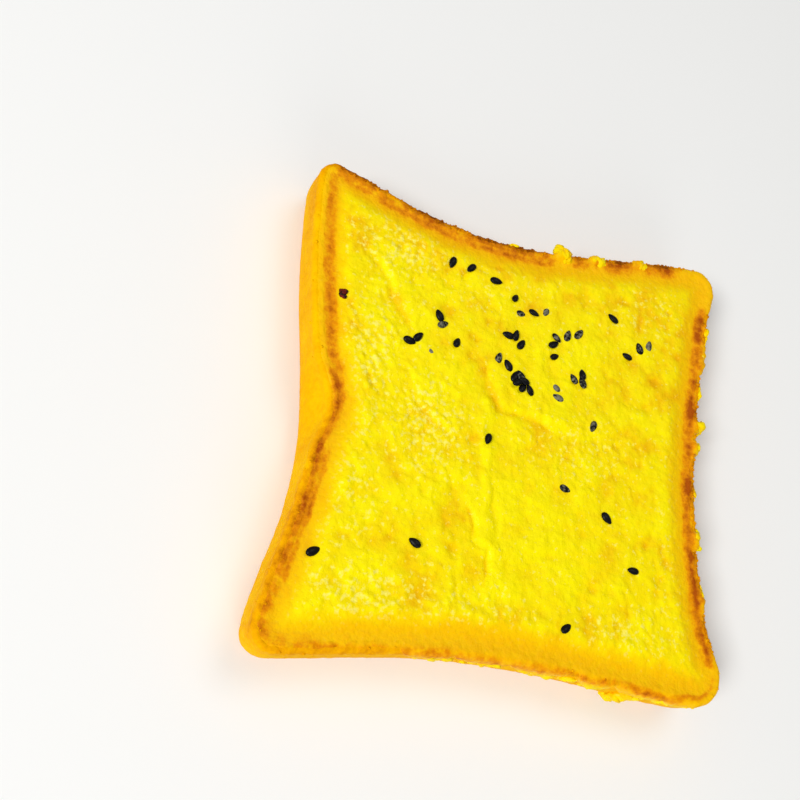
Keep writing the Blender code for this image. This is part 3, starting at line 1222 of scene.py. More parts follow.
@dataclass
class ToastedSlice:
    """The slice of bread: browned crest, soaked wall and open crumb underneath."""

    form: SliceForm
    tone: CrustTone
    relief: CrustRelief
    per_side: int = 200
    wall_rows: int = 42
    pore_depth: float = 1.1
    pore_size: float = 4.2
    small_pore_size: float = 1.9
    small_pore_share: float = 0.55
    bed_rings: tuple[float, ...] = (0.9, 0.6, 0.25)
    base_browning: float = 0.35
    bed_browning: float = 0.3
    crumbs_at: float = 3.8
    crumbs_half_width: float = 2.4
    rind: float = 1.2

    def build(self) -> Object:
        """Make the slice's mesh.

        Returns:
            The piece.
        """
        form, count = self.form, 4 * self.per_side
        runs = form.ring(self.per_side, form.section.length)
        distances = np.linspace(form.section.length, 0.0, self.wall_rows)
        run, distance = np.meshgrid(runs, distances)
        flat = form.place(run, distance)
        settled = ease((form.section.length - distance) / 1.6)
        wall = form.place(run, distance, self.relief.away(run, distance) * settled)
        patch = Patch(wall[0, :, :2], self.per_side, self.wall_rows * count)
        inner = patch.inner_points()
        base, pore = self._crumb(inner)
        rings = [wall.reshape(-1, 3), base]
        bed = wall[-1]
        for scale in self.bed_rings:
            rings.append(bed * np.array([scale, scale, 1.0]))
        pole = bed.mean(axis=0) * np.array([0.0, 0.0, 1.0])
        points = np.concatenate([*rings, pole[None]])
        first_bed = self.wall_rows * count + len(base)
        faces = tube_faces(self.wall_rows, count).tolist()
        faces += patch.faces(0, upward=False).tolist()
        bridge = tube_faces(2, count)
        bed_edge = (self.wall_rows - 1) * count
        bridge = np.where(bridge < count, bridge + bed_edge, bridge - count + first_bed)
        faces += bridge.tolist()
        faces += tube_faces(3, count, first_bed).tolist()
        faces += fan_faces(first_bed + 2 * count, count, len(points) - 1, upward=True)
        brown = self.tone.browning(run, distance, flat).reshape(-1)
        crumbs = self.tone.roughness(run) * hump(distance - self.crumbs_at, self.crumbs_half_width)
        crumbs = crumbs * (self.tone.side_shares(run) @ np.array(self.tone.crumb_shares))
        wall_zeros, base_zeros = np.zeros(len(brown)), np.zeros(len(base))
        rest = np.ones(len(points) - len(brown) - len(base))
        parts = {
            "browning": (brown, base_zeros + self.base_browning, rest * self.bed_browning),
            "crumb": (wall_zeros, self._crumb_share(inner), rest * 0.0),
            "pore": (wall_zeros, pore, rest * 0.0),
            "crumbs": (crumbs.reshape(-1), base_zeros, rest * 0.0),
        }
        attributes = {name: np.concatenate(values) for name, values in parts.items()}
        return make_piece("toasted_slice", points, faces, attributes)

    def _edge_distance(self, flat: Array) -> Array:
        """How far inside the base's edge each point is.

        Args:
            flat: rows of x and y.

        Returns:
            One distance for each point.
        """
        length = self.form.section.length
        ring = self.form.place(self.form.ring(self.per_side, length), length)
        return nearest_edge(flat, ring[:, :2])[0]

    def _crumb_share(self, flat: Array) -> Array:
        """Where the base shows open crumb, from 0 at the crust to 1 inside it."""
        wander = 0.9 * Noise(8).fractal(on_level(flat), 7.0, 3)
        return ease((self._edge_distance(flat) + wander - self.rind) / 1.3)

    def _crumb(self, flat: Array) -> tuple[Array, Array]:
        """Press pores into the flat base.

        Args:
            flat: rows of x and y.

        Returns:
            The points of the base, and how deep in a pore each one is, from 0 to 1.
        """
        spots = on_level(flat)
        noise = Noise(21)
        bent = spots + 0.8 * np.column_stack(
            [noise.waves(spots, 3.0), noise.waves(spots + 50.0, 3.0), np.zeros(len(flat))]
        )
        pore = np.zeros(len(flat))
        sizes = ((self.pore_size, 1.0, 31), (self.small_pore_size, self.small_pore_share, 32))
        for size, share, seed in sizes:
            nearest, value = Noise(seed).cells(bent, size)
            radius = 0.16 + 0.34 * value**1.5
            pore = np.maximum(pore, share * ease(1.25 - nearest / radius))
        pore *= ease((self._edge_distance(flat) - 1.0) / 2.0)
        height = self.pore_depth * pore + 0.08 * (1.0 + noise.fractal(spots, 1.6, 2))
        height *= ease(self._edge_distance(flat) / 1.5)
        return np.column_stack([flat, np.maximum(height, 0.0)]), pore

    def dress(self, piece: Object) -> None:
        """Give the slice its crust and its place in the record."""
        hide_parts("bread_slice")
        record(piece, CrustFinish().make())


def nearest_edge(flat: Array, ring: Array) -> tuple[Array, Array]:
    """Find the nearest point of a ring to each point.

    Args:
        flat: rows of x and y.
        ring: rows of x and y round an edge.

    Returns:
        How far away each point's nearest edge point is, and its number.
    """
    tree = KDTree(len(ring))
    for index, (x, y) in enumerate(ring):
        tree.insert((x, y, 0.0), index)
    tree.balance()
    found = np.array([tree.find((x, y, 0.0))[1:] for x, y in flat])
    return found[:, 1], found[:, 0].astype(int)


# ---------------------------------------------------------------- butter


@dataclass(frozen=True)
class Lobe:
    """Butter that has run over the crest: where, how wide, how far down, how thick, and
    how much of the brown it hides."""

    side: Side
    along: float
    half_width: float
    reach: float
    height: float
    cover: float = 0.0


@dataclass(frozen=True)
class KnifeMark:
    """A ridge or groove that the knife left: its path, height, width and step in level."""

    path: tuple[tuple[float, float], ...]
    height: float
    half_width: float
    step: float = 0.0


@dataclass(frozen=True)
class Region:
    """A soft-edged oval on the face."""

    x: float
    y: float
    half_x: float
    half_y: float
    amount: float

    def at(self, flat: Array) -> Array:
        """The amount at each point, fading out over the oval's edge."""
        apart = np.hypot((flat[:, 0] - self.x) / self.half_x, (flat[:, 1] - self.y) / self.half_y)
        return self.amount * np.exp(-(apart**2.5))


@dataclass
class ButterSpread:
    """The layer of butter: a grained face, a smooth shoulder and a thin, uneven rim.

    Each kind of unevenness of the face, from swell to grit, is its size and its height.
    """

    form: SliceForm
    tone: CrustTone
    crust: CrustRelief
    least_reach: float = 3.4
    per_side: int = 250
    skirt_rows: int = 18
    gap: float = 0.35
    crest_at: float = 3.2
    film: float = 0.13
    crumble: float = 0.35
    rim_thickness: float = 0.45
    face_thickness: float = 1.15
    shoulder: float = 0.20
    shoulder_at: float = 5.0
    shoulder_width: float = 2.6
    ridge_blend: float = 1.8
    root: float = 0.35
    swell: tuple[float, float] = (17.0, 0.26)
    ripple: tuple[float, float] = (5.5, 0.42)
    curd: tuple[float, float] = (1.6, 0.42)
    lump: tuple[float, float] = (3.4, 0.50)
    pit: tuple[float, float] = (7.0, 0.40)
    grit: tuple[float, float] = (0.9, 0.05)
    mark_gain: float = 1.7
    mark_reach: float = 5.0
    under_rings: tuple[float, ...] = (0.6, 0.25)
    side_reach: tuple[float, ...] = (3.0, 2.8, 3.0, 2.8)
    corner_reach: tuple[float, ...] = (2.8, 5.2, 6.2, 3.0)
    rim_widths: tuple[float, ...] = (6.2, 6.8, 6.8, 5.4)
    lobes: tuple[Lobe, ...] = (
        Lobe(NEAR, 0.33, 7.0, 8.0, 0.30),
        Lobe(NEAR, 0.46, 8.0, 8.6, 0.40),
        Lobe(NEAR, 0.60, 8.5, 9.0, 0.50),
        Lobe(NEAR, 0.745, 5.0, 9.8, 0.80, 0.4),
        Lobe(NEAR, 0.86, 8.0, 9.0, 0.45),
        Lobe(NEAR, 0.97, 6.0, 9.0, 0.35),
        Lobe(RIGHT, 0.01, 4.5, 8.0, 0.25),
        Lobe(RIGHT, 0.16, 4.0, 6.4, 0.50),
        Lobe(RIGHT, 0.31, 3.0, 6.8, 0.80),
        Lobe(RIGHT, 0.55, 2.6, 7.0, 0.90),
        Lobe(RIGHT, 0.61, 2.4, 7.2, 1.10),
        Lobe(RIGHT, 0.80, 6.0, 6.8, 0.70),
        Lobe(RIGHT, 0.985, 5.0, 8.0, 0.40, 0.8),
        Lobe(FAR, 0.175, 2.4, 5.4, 0.50, 0.6),
        Lobe(FAR, 0.30, 3.0, 5.8, 0.60, 0.6),
        Lobe(FAR, 0.40, 2.4, 6.2, 1.10, 0.9),
    )
    marks: tuple[KnifeMark, ...] = (
        KnifeMark(
            ((-9.3, 4.5), (-8.5, -4.2), (-7.8, -13.4), (-7.4, -22.3), (-7.0, -29.5)), 0.24, 1.5
        ),
        KnifeMark(((-6.3, -12.0), (-5.8, -17.7), (-5.0, -26.3)), -0.10, 0.7, 0.05),
        KnifeMark(
            ((-11.2, -21.1), (-10.3, -24.1), (-9.8, -26.9), (-6.5, -28.7), (-6.5, -34.4)),
            -0.30, 0.55, 0.16,
        ),
        KnifeMark(((-14.3, -36.0), (-13.4, -38.2), (-12.7, -40.6)), -0.16, 0.7),
        KnifeMark(
            ((-8.0, 9.5), (-6.3, 5.7), (-4.6, 2.9), (-1.1, 3.6), (2.6, 3.4), (6.3, 2.0)),
            -0.26, 0.9, 0.18,
        ),
        KnifeMark(
            ((4.6, 5.4), (10.0, 3.3), (15.4, 2.2), (20.9, 2.8), (24.7, 5.1)), 0.16, 1.6, 0.10
        ),
        KnifeMark(
            ((-38.3, 32.8), (-36.6, 30.0), (-34.8, 27.4), (-32.6, 24.4), (-30.0, 21.0)),
            -0.24, 0.8, 0.14,
        ),
        KnifeMark(((-26.5, 4.0), (-25.4, 1.9), (-22.4, -2.0), (-19.8, -3.0)), -0.24, 0.9, 0.16),
        KnifeMark(((-31.0, -8.0), (-28.0, -12.0), (-24.5, -16.0), (-20.5, -18.0)), 0.16, 1.2),
        KnifeMark(((8.0, 30.0), (4.0, 18.0), (5.0, 10.0)), 0.10, 1.8),
        KnifeMark(((28.0, 38.0), (34.0, 22.0), (36.0, 4.0), (36.0, -16.0)), 0.10, 2.6),
    )
    # Where the face is grained, which is also where its painted glints are thickest.
    grain_and_glint_regions: tuple[Region, ...] = (
        Region(-33.0, 38.0, 12.0, 8.0, 1.0),
        Region(-38.0, 8.0, 7.0, 22.0, 0.9),
        Region(-40.0, -22.0, 7.0, 14.0, 0.7),
        Region(-34.0, -42.0, 15.0, 6.0, 1.0),
        Region(-10.0, -42.0, 16.0, 5.0, 0.6),
        Region(-23.0, -4.0, 10.0, 12.0, 1.0),
        Region(16.0, -2.0, 14.0, 8.0, 0.6),
        Region(30.0, -42.0, 16.0, 5.0, 0.7),
        Region(41.0, -26.0, 5.0, 16.0, 0.5),
        Region(34.0, 38.0, 12.0, 7.0, 0.5),
        Region(-12.0, 32.0, 10.0, 8.0, 0.4),
    )
    warm: tuple[Region, ...] = (
        Region(38.0, 10.0, 9.0, 34.0, 0.30),
        Region(10.0, 40.0, 34.0, 7.0, 0.28),
        Region(0.0, -44.0, 40.0, 5.0, 0.18),
        # The next strip lies beside the arc groove, opposite the pale patch there: painted shade.
        Region(2.0, 8.0, 7.0, 3.0, 0.22),
        Region(24.0, -27.0, 4.0, 4.0, 0.35),
        Region(-20.0, -10.0, 5.0, 4.0, 0.22),
        Region(-44.0, 24.0, 4.0, 16.0, 0.20),
        Region(-43.0, 44.0, 8.0, 7.0, 0.35),
    )
    bright: tuple[Region, ...] = (
        # The next patch lies along the flank of the long knife ridge, and the one after it beside
        # the arc groove: painted highlights.
        Region(-8.4, -18.0, 1.6, 8.0, 0.40),
        Region(-2.7, -1.5, 4.5, 4.0, 0.35),
        Region(-30.0, 12.0, 8.0, 18.0, 0.25),
        Region(12.0, -22.0, 20.0, 10.0, 0.15),
    )

    def __post_init__(self) -> None:
        """Lay out the rim and its edge."""
        self.runs = self.form.ring(self.per_side, 0.0)
        self.edge = self.form.place(self.runs, 0.0)

    def _marks(self, flat: Array) -> Array:
        """The relief of all the knife marks.

        Args:
            flat: rows of x and y.

        Returns:
            One height for each point.
        """
        total = np.zeros(len(flat))
        for mark in self.marks:
            path = np.array(mark.path)
            nearest = np.full(len(flat), 1e9)
            side = np.zeros(len(flat))
            for a, b in zip(path, path[1:]):
                way = b - a
                share = np.clip((flat - a) @ way / (way @ way), 0.0, 1.0)
                apart = flat - a - share[:, None] * way
                distance = np.hypot(apart[:, 0], apart[:, 1])
                left = np.sign(way[0] * apart[:, 1] - way[1] * apart[:, 0])
                side = np.where(distance < nearest, left, side)
                nearest = np.minimum(nearest, distance)
            total += mark.height * hump(nearest, mark.half_width)
            level = side * np.tanh(nearest / mark.half_width) * hump(nearest, self.mark_reach)
            total += mark.step * level
        return total

    def depth(self, flat: Array) -> Array:
        """How far inside the edge points lie, with the ridges to the corners rounded off.

        Args:
            flat: rows of x and y.

        Returns:
            One distance for each point.
        """
        ring = np.concatenate([self.edge, self.edge[:1]])[:, :2]
        starts = [self.per_side * side for side in Side]
        apart = [nearest_edge(flat, ring[at : at + self.per_side + 1])[0] for at in starts]
        shares = np.exp(-np.stack(apart) / self.ridge_blend).sum(axis=0)
        return np.maximum(-self.ridge_blend * np.log(shares), 0.0)

    def height(self, flat: Array) -> Array:
        """The height of the butter's face.

        Args:
            flat: rows of x and y.

        Returns:
            One height for each point.
        """
        spots = on_level(flat)
        inside = self.depth(flat)
        noise = Noise(3)
        drift = noise.fractal(spots, 10.0, 2)
        ring = self.shoulder * hump(inside - self.shoulder_at - 1.0 * drift, self.shoulder_width)
        gain = (self.face_thickness - self.rim_thickness) * ease(inside / 5.5)
        thickness = self.rim_thickness + ring + gain
        bent = spots + 1.2 * np.column_stack(
            [noise.waves(spots + 11.0, 5.0), noise.waves(spots + 23.0, 5.0), np.zeros(len(flat))]
        )
        relief = self.relief(bent, spots)
        inner = ease((inside - 1.5) / 5.0)
        body = thickness + relief * (0.25 + 0.75 * inner)
        bed = self.form.section.bed_height + self.gap
        return bed + body + self.form.lift(flat[:, 0], flat[:, 1])

    def relief(self, bent: Array, spots: Array) -> Array:
        """The lumps, knife marks, pits and curds of the face.

        Args:
            bent: the points, moved about a little, so that straight marks wander.
            spots: the points themselves, on the level.

        Returns:
            One height for each point.
        """
        noise = Noise(3)
        relief = self.swell[1] * noise.fractal(bent, self.swell[0], 2)
        relief += self.ripple[1] * noise.fractal(bent + 40.0, self.ripple[0], 4)
        relief += self.mark_gain * self._marks(bent[:, :2])
        grain = 0.45 + self.grain(spots[:, :2])
        nearest, value = Noise(13).cells(bent, self.curd[0])
        relief += self.curd[1] * grain * (0.5 - nearest) * (0.4 + 0.9 * value)
        nearest, value = Noise(14).cells(bent, self.lump[0])
        lumpy = 0.3 + 0.9 * ease(0.5 + 1.6 * noise.fractal(spots + 71.0, 14.0, 2))
        relief += self.lump[1] * lumpy * (0.5 - nearest) * value
        nearest, value = Noise(15).cells(bent, self.pit[0])
        radius = 0.10 + 0.16 * value
        relief -= self.pit[1] * ease(1.3 - nearest / radius) * (value > 0.35)
        return relief + self.grit[1] * grain * noise.fractal(spots, self.grit[0], 2)

    def grain(self, flat: Array) -> Array:
        """How grained the face is, which also sets where its painted glints lie.

        Args:
            flat: rows of x and y.

        Returns:
            From 0 to about 1 for each point.
        """
        amount = np.zeros(len(flat))
        for region in self.grain_and_glint_regions:
            amount = np.maximum(amount, region.at(flat))
        return amount

    def cover(self, run: Array) -> Array:
        """How much of the brown the runs of butter hide.

        Args:
            run: distances round the outline.

        Returns:
            From 0, nothing, to 1, all of it, for each point.
        """
        hidden = np.zeros_like(run)
        for lobe in self.lobes:
            within = np.exp(-(np.abs(self._from_lobe(lobe, run)) ** 3))
            hidden = np.maximum(hidden, lobe.cover * within)
        return hidden

    def _from_lobe(self, lobe: Lobe, run: Array) -> Array:
        """How many half widths each run is from a lobe's middle."""
        outline = self.form.outline
        return outline.apart(run, outline.run_of(lobe.side, lobe.along)) / lobe.half_width

    def reach(self) -> Array:
        """How far out from the bed's edge the butter reaches, all round.

        Returns:
            One distance for each of the rim's runs.
        """
        spots = self.edge
        noise = Noise(17)
        outline = self.form.outline
        reach = np.zeros_like(self.runs)
        weight = np.full_like(self.runs, 1e-6)
        for side in Side:
            corner = np.exp(-((outline.apart(self.runs, outline.stops[side]) / 7.5) ** 4))
            middle = (outline.stops[side] + outline.stops[side + 1]) / 2
            half = (outline.stops[side + 1] - outline.stops[side]) / 2
            along = np.exp(-((outline.apart(self.runs, middle) / (half - 4.0)) ** 24))
            reach += along * self.side_reach[side] + 3.0 * corner * self.corner_reach[side]
            weight += along + 3.0 * corner
        reach /= weight
        reach *= 1.0 + 0.30 * noise.fractal(spots, 6.0, 2) + 0.35 * noise.fractal(spots, 2.2, 2)
        wander = 1.0 + 0.22 * noise.fractal(spots + 5.0, 2.4, 2)
        for lobe in self.lobes:
            blob = np.exp(-(np.abs(self._from_lobe(lobe, self.runs)) ** 3)) * wander
            reach = np.maximum(reach, lobe.reach * blob)
        return np.maximum(reach, self.least_reach + 0.4 * noise.fractal(spots, 3.0, 2))

    def _skirt(self, top: Array) -> tuple[Array, Array, Array]:
        """Lay the rim over the crest, thinning to its edge.

        Args:
            top: the face's height at each point of the bed's edge.

        Returns:
            Points row by row from the edge inwards, how near the edge each row is, and how
            thick the butter is.
        """
        reach = self.reach()
        crest = self.form.place(self.runs, self.crest_at)[:, 2]
        rows, nearness, thickness = [], [], []
        for share in np.sin(np.linspace(pi / 2, 0.0, self.skirt_rows)):
            distance = reach * share
            bare = self.form.place(self.runs, distance)
            away = self.film + 0.16 * Noise(19).fractal(bare, 1.9, 2) * min(1.0, 2 * share)
            crust = self.crust.away(self.runs, distance)
            away = away * (1.0 - share**2) + crust * share**2
            crumbly, _ = Noise(18).cells(bare, 1.3)
            rough = self.tone.roughness(self.runs) * hump(distance - 2.6, 2.6)
            away = away + self.crumble * rough * (0.5 - crumbly)
            craggy = 1.0 + 1.1 * Noise(23).fractal(bare, 1.6, 3)
            for lobe in self.lobes:
                blob = hump(self._from_lobe(lobe, self.runs), 0.8)
                blob = blob * hump(distance - lobe.reach * 0.72, lobe.reach * 0.34)
                away = away + lobe.height * blob * craggy
            laid = self.form.place(self.runs, distance, away)
            climb = ease(distance / self.crest_at)
            level = top * (1.0 - climb) + (crest + away) * climb
            inside = distance < self.crest_at
            laid[:, :2] = np.where(inside[:, None], bare[:, :2], laid[:, :2])
            laid[:, 2] = np.where(inside, np.maximum(bare[:, 2] + away, level), laid[:, 2])
            sunk = self.form.place(self.runs, distance, crust - self.root)
            rows.append(laid + (sunk - laid) * share**24)
            nearness.append(np.full(len(self.runs), share))
            thickness.append(away - crust)
        return np.stack(rows), np.stack(nearness), np.stack(thickness)

    def build(self) -> Object:
        """Make the butter's mesh.

        Returns:
            The piece.
        """
        count = 4 * self.per_side
        patch_ring = self.edge[:, :2]
        inner_start = self.skirt_rows * count
        patch = Patch(patch_ring, self.per_side, inner_start)
        inner = patch.inner_points()
        flat = np.concatenate([patch_ring, inner])
        top = self.height(flat)
        skirt, share, thickness = self._skirt(top[:count])
        face = np.column_stack([inner, top[count:]])
        reach = self.reach()
        under = []
        for part in (0.9, 0.0):
            depth = np.minimum(self.crust.away(self.runs, reach * part), 0.0) - self.root
            under.append(self.form.place(self.runs, reach * part, depth))
        for scale in self.under_rings:
            under.append(under[1] * np.array([scale, scale, 1.0]))
        under_start = inner_start + len(inner)
        pole = under[-1].mean(axis=0)
        points = np.concatenate([skirt.reshape(-1, 3), face, *under, pole[None]])
        faces = tube_faces(self.skirt_rows, count).tolist()
        faces += patch.faces((self.skirt_rows - 1) * count, upward=True).tolist()
        bridge = tube_faces(2, count)[:, ::-1]
        faces += np.where(bridge < count, bridge, bridge - count + under_start).tolist()
        faces += tube_faces(4, count, under_start)[:, ::-1].tolist()
        faces += fan_faces(under_start + 3 * count, count, len(points) - 1, upward=False)
        rest = len(points) - inner_start - len(inner)
        spots = np.concatenate([skirt.reshape(-1, 3)[:, :2], inner])
        inside, nearest = nearest_edge(spots, self.edge[:, :2])
        inside[:inner_start] = 0.0
        drift = Noise(29).fractal(np.column_stack([spots, np.zeros(len(spots))]), 6.0, 3)
        pull = np.stack([-spots[:, 1], spots[:, 0], spots[:, 1], -spots[:, 0]], -1) / 5.0
        pull = np.exp(pull - pull.max(axis=1, keepdims=True))
        widths = pull @ np.array(self.rim_widths) / pull.sum(axis=1)
        rim = 0.50 * (1.0 - ease((inside + 1.3 * drift) / widths))
        rim[:inner_start] = 0.5 - 0.1 * ease((share * reach - 4.5) / 1.5).reshape(-1)
        rim[:inner_start] -= 0.3 * ease((thickness - 0.5) / 0.6).reshape(-1)
        skirt_runs = np.tile(self.runs, self.skirt_rows)
        run = np.concatenate([skirt_runs, self.runs[nearest[inner_start:]]])
        distance = np.concatenate([(share * reach).reshape(-1), -inside[inner_start:]])
        toast = self.tone.strip(run, distance, np.concatenate([skirt.reshape(-1, 3), face]))
        toast *= 1.0 - self.cover(run)
        level = on_level(spots)
        # The relief's hollows are painted deeper orange and its tops paler yellow: painted shade
        # and painted light that follow the relief.
        warm = np.clip(-0.8 * self.relief(level, level), -0.2, 0.42)
        for region in self.warm:
            warm += region.at(spots)
        for region in self.bright:
            warm -= region.at(spots)
        # Pale flecks away from the rim: partly fat grains, partly painted glints.
        cream = self.grain(spots) * (1 - ease((rim - 0.2) / 0.3))
        shown = {"rim": rim, "toast": toast, "warm": warm, "cream": cream}
        attributes = {name: np.pad(values, (0, rest)) for name, values in shown.items()}
        return make_piece("butter_layer", points, faces, attributes)

    def dress(self, piece: Object) -> None:
        """Give the butter its finish and its place in the record."""
        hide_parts("butter_spread")
        record(piece, ButterFinish().make())


def craggy_bodies(
    middles: Array, sizes: Array, seed: int, rings: int = 10, round_count: int = 16
) -> tuple[Array, list]:
    """Closed, uneven bodies, each a ball pushed in and out by noise.

    Args:
        middles: rows of x, y and z, which also choose each body's own shape.
        sizes: rows of three half sizes.
        seed: the noise's seed.
        rings: points from pole to pole.
        round_count: points round each body.

    Returns:
        One array of offsets for each body, and the faces of all of them.
    """
    tilt = np.linspace(0.0, pi, rings + 2)[1:-1]
    turn = np.linspace(0.0, 2 * pi, round_count, endpoint=False)
    turn, tilt = np.meshgrid(turn, tilt)
    unit = np.stack([np.sin(tilt) * np.cos(turn), np.sin(tilt) * np.sin(turn), np.cos(tilt)], -1)
    unit = np.concatenate([unit.reshape(-1, 3), [[0.0, 0.0, 1.0], [0.0, 0.0, -1.0]]])
    noise = Noise(seed)
    bodies, faces = [], []
    for number, (middle, size) in enumerate(zip(middles, sizes)):
        swell = 1.0 + 0.8 * noise.fractal(unit + middle, 1.2, 2)
        bodies.append(unit * swell[:, None] * size)
        start = number * len(unit)
        last = start + rings * round_count
        faces += tube_faces(rings, round_count, start)[:, ::-1].tolist()
        faces += fan_faces(start, round_count, last, upward=True)
        faces += fan_faces(last - round_count, round_count, last + 1, upward=False)
    return np.array(bodies), faces


@dataclass(frozen=True)
class Clump:
    """Crumbs of butter stuck together on the crust: place, half sizes, how many, how big,
    how far they stand off the crust, and how round they are."""

    side: Side
    along: float
    distance: float
    half_round: float
    half_down: float
    count: int
    size: float
    rise: float = 0.12
    roundness: float = 0.6


@dataclass
class ButterClumps:
    """Craggy lumps of butter that dried on the crust."""

    form: SliceForm
    clumps: tuple[Clump, ...] = (
        Clump(NEAR, 0.36, 8.0, 5.0, 1.8, 8, 0.9, -0.3),
        Clump(NEAR, 0.49, 8.2, 5.0, 2.0, 12, 1.2, -0.3),
        Clump(NEAR, 0.61, 8.4, 5.0, 2.0, 14, 1.3, -0.3),
        Clump(NEAR, 0.70, 8.2, 3.0, 2.0, 7, 1.2, -0.3),
        Clump(NEAR, 0.852, 9.2, 2.4, 2.2, 14, 1.2, -0.1, 0.8),
        Clump(NEAR, 0.850, 11.8, 1.7, 1.8, 13, 1.2, 0.0, 0.9),
        Clump(NEAR, 0.851, 15.0, 1.4, 2.2, 16, 1.2, -0.1, 1.0),
        Clump(NEAR, 0.90, 8.2, 6.0, 2.2, 12, 1.1, -0.3),
        Clump(NEAR, 0.985, 6.4, 2.6, 1.6, 7, 0.6, 0.0),
        Clump(RIGHT, 0.00, 5.8, 3.0, 2.0, 9, 0.6, 0.0),
        Clump(RIGHT, 0.16, 5.4, 3.0, 1.4, 8, 1.0),
        Clump(RIGHT, 0.31, 5.6, 1.8, 1.2, 8, 1.2, 0.3, 0.8),
        Clump(RIGHT, 0.43, 5.4, 2.0, 1.2, 3, 0.8),
        Clump(RIGHT, 0.555, 5.6, 1.6, 1.0, 8, 0.9, 0.5, 0.9),
        Clump(RIGHT, 0.615, 5.8, 1.3, 1.0, 8, 1.3, 1.0, 1.0),
        Clump(RIGHT, 0.70, 5.2, 3.4, 1.2, 6, 0.9),
        Clump(RIGHT, 0.80, 5.2, 3.4, 1.4, 9, 1.0),
        Clump(RIGHT, 0.88, 5.4, 2.4, 1.4, 6, 1.0),
        Clump(FAR, 0.165, 3.2, 1.8, 1.4, 8, 0.8),
        Clump(FAR, 0.29, 3.2, 2.2, 1.4, 9, 1.0),
        Clump(FAR, 0.392, 4.9, 2.0, 1.3, 18, 1.1, 0.8, 0.9),
        Clump(FAR, 0.385, 2.6, 1.6, 1.2, 7, 1.0, 0.1, 0.8),
        Clump(FAR, 0.53, 4.6, 1.6, 1.0, 3, 0.8),
    )

    def build(self) -> Object:
        """Make all the lumps as one mesh of closed bodies.

        Returns:
            The piece.
        """
        places, sizes = [], []
        for number, clump in enumerate(self.clumps):
            rng = np.random.default_rng((12, number))
            middle = self.form.outline.run_of(clump.side, clump.along)
            for _ in range(clump.count):
                apart = rng.normal(scale=0.5, size=2)
                size = clump.size * rng.uniform(0.6, 1.15) * np.exp(-0.3 * (apart @ apart))
                run = middle + apart[0] * clump.half_round
                distance = clump.distance + apart[1] * clump.half_down
                places.append((run, distance, clump.rise * size))
                sizes.append(size * rng.uniform(0.8, 1.35, 3) * (1.15, 1.0, clump.roundness))
        places = np.array(places)
        bodies, faces = craggy_bodies(places, np.array(sizes), seed=41)
        spots = (places[:, None] + bodies).reshape(-1, 3)
        points = self.form.place(spots[:, 0], spots[:, 1], spots[:, 2])
        rich = 0.15 + 0.4 * Noise(42).fractal(points, 3.0, 3)
        faces = [tuple(reversed(face)) for face in faces]
        return make_piece("butter_clumps", points, faces, {"warm": rich, "rim": 0.1 + 0.5 * rich})

    def dress(self, piece: Object) -> None:
        """Give the lumps the butter's finish."""
        record(piece, bpy.data.materials[ButterFinish().name])


@dataclass
class BurntCrumb:
    """The one charred crumb that sits in the butter near the far left."""

    spread: ButterSpread
    x: float = -46.0
    y: float = 22.7
    lumps: tuple[tuple[float, float, float], ...] = (
        (0.0, 0.0, 0.85),
        (0.55, 0.45, 0.6),
        (-0.5, 0.5, 0.5),
        (0.35, -0.65, 0.55),
    )

    def build(self) -> Object:
        """Make the crumb from a few bodies that run into one another.

        Returns:
            The piece.
        """
        lumps = np.array(self.lumps)
        flat = lumps[:, :2] + (self.x, self.y)
        middles = np.column_stack([flat, self.spread.height(flat) + 0.2])
        sizes = lumps[:, 2:] * (1.0, 1.0, 0.7)
        bodies, faces = craggy_bodies(middles, sizes, seed=43)
        return make_piece("burnt_crumb", (middles[:, None] + bodies).reshape(-1, 3), faces)

    def dress(self, piece: Object) -> None:
        """Give the crumb its charred finish."""
        record(piece, CharFinish().make())


# ---------------------------------------------------------------- scattered pieces


@dataclass(frozen=True)
class NodeInput:
    """A named input of a geometry tree and the value it is given."""

    name: str
    kind: str
    value: object


def grow(name: str, carrier: Object, tree: NodeTree, inputs: tuple[NodeInput, ...]) -> Object:
    """Run a geometry tree on a carrier and keep its result as a plain mesh.

    Args:
        name: the new piece's name.
        carrier: the object that the tree reads. It is left as it was.
        tree: the geometry tree.
        inputs: the tree's inputs with their values.

    Returns:
        The new piece.
    """
    modifier = carrier.modifiers.new(name, "NODES")
    modifier.node_group = tree
    sockets = {socket.name: socket.identifier for socket in tree.interface.items_tree}
    for entry in inputs:
        modifier[sockets[entry.name]] = entry.value
    bpy.context.view_layer.update()
    evaluated = carrier.evaluated_get(bpy.context.evaluated_depsgraph_get())
    mesh = bpy.data.meshes.new_from_object(evaluated)
    carrier.modifiers.remove(modifier)
    mesh.name = name
    piece = bpy.data.objects.new(name, mesh)
    bpy.context.scene.collection.objects.link(piece)
    return piece


def start_tree(name: str, inputs: tuple[NodeInput, ...]) -> tuple[NodeTree, Node]:
    """Start a geometry tree with named inputs.

    Args:
        name: the tree's name.
        inputs: its inputs besides the geometry.

    Returns:
        The tree and its input node.
    """
    tree = bpy.data.node_groups.new(name, "GeometryNodeTree")
    tree.interface.new_socket("Geometry", in_out="INPUT", socket_type="NodeSocketGeometry")
    tree.interface.new_socket("Geometry", in_out="OUTPUT", socket_type="NodeSocketGeometry")
    for entry in inputs:
        tree.interface.new_socket(entry.name, in_out="INPUT", socket_type=entry.kind)
    return tree, add_node(tree, "NodeGroupInput")


@dataclass(frozen=True)
class SeedGroup:
    """Seeds that landed together: a middle, and each seed's offset, turn, film and rise."""

    x: float
    y: float
    seeds: tuple[tuple[float, float, float, float, float], ...]


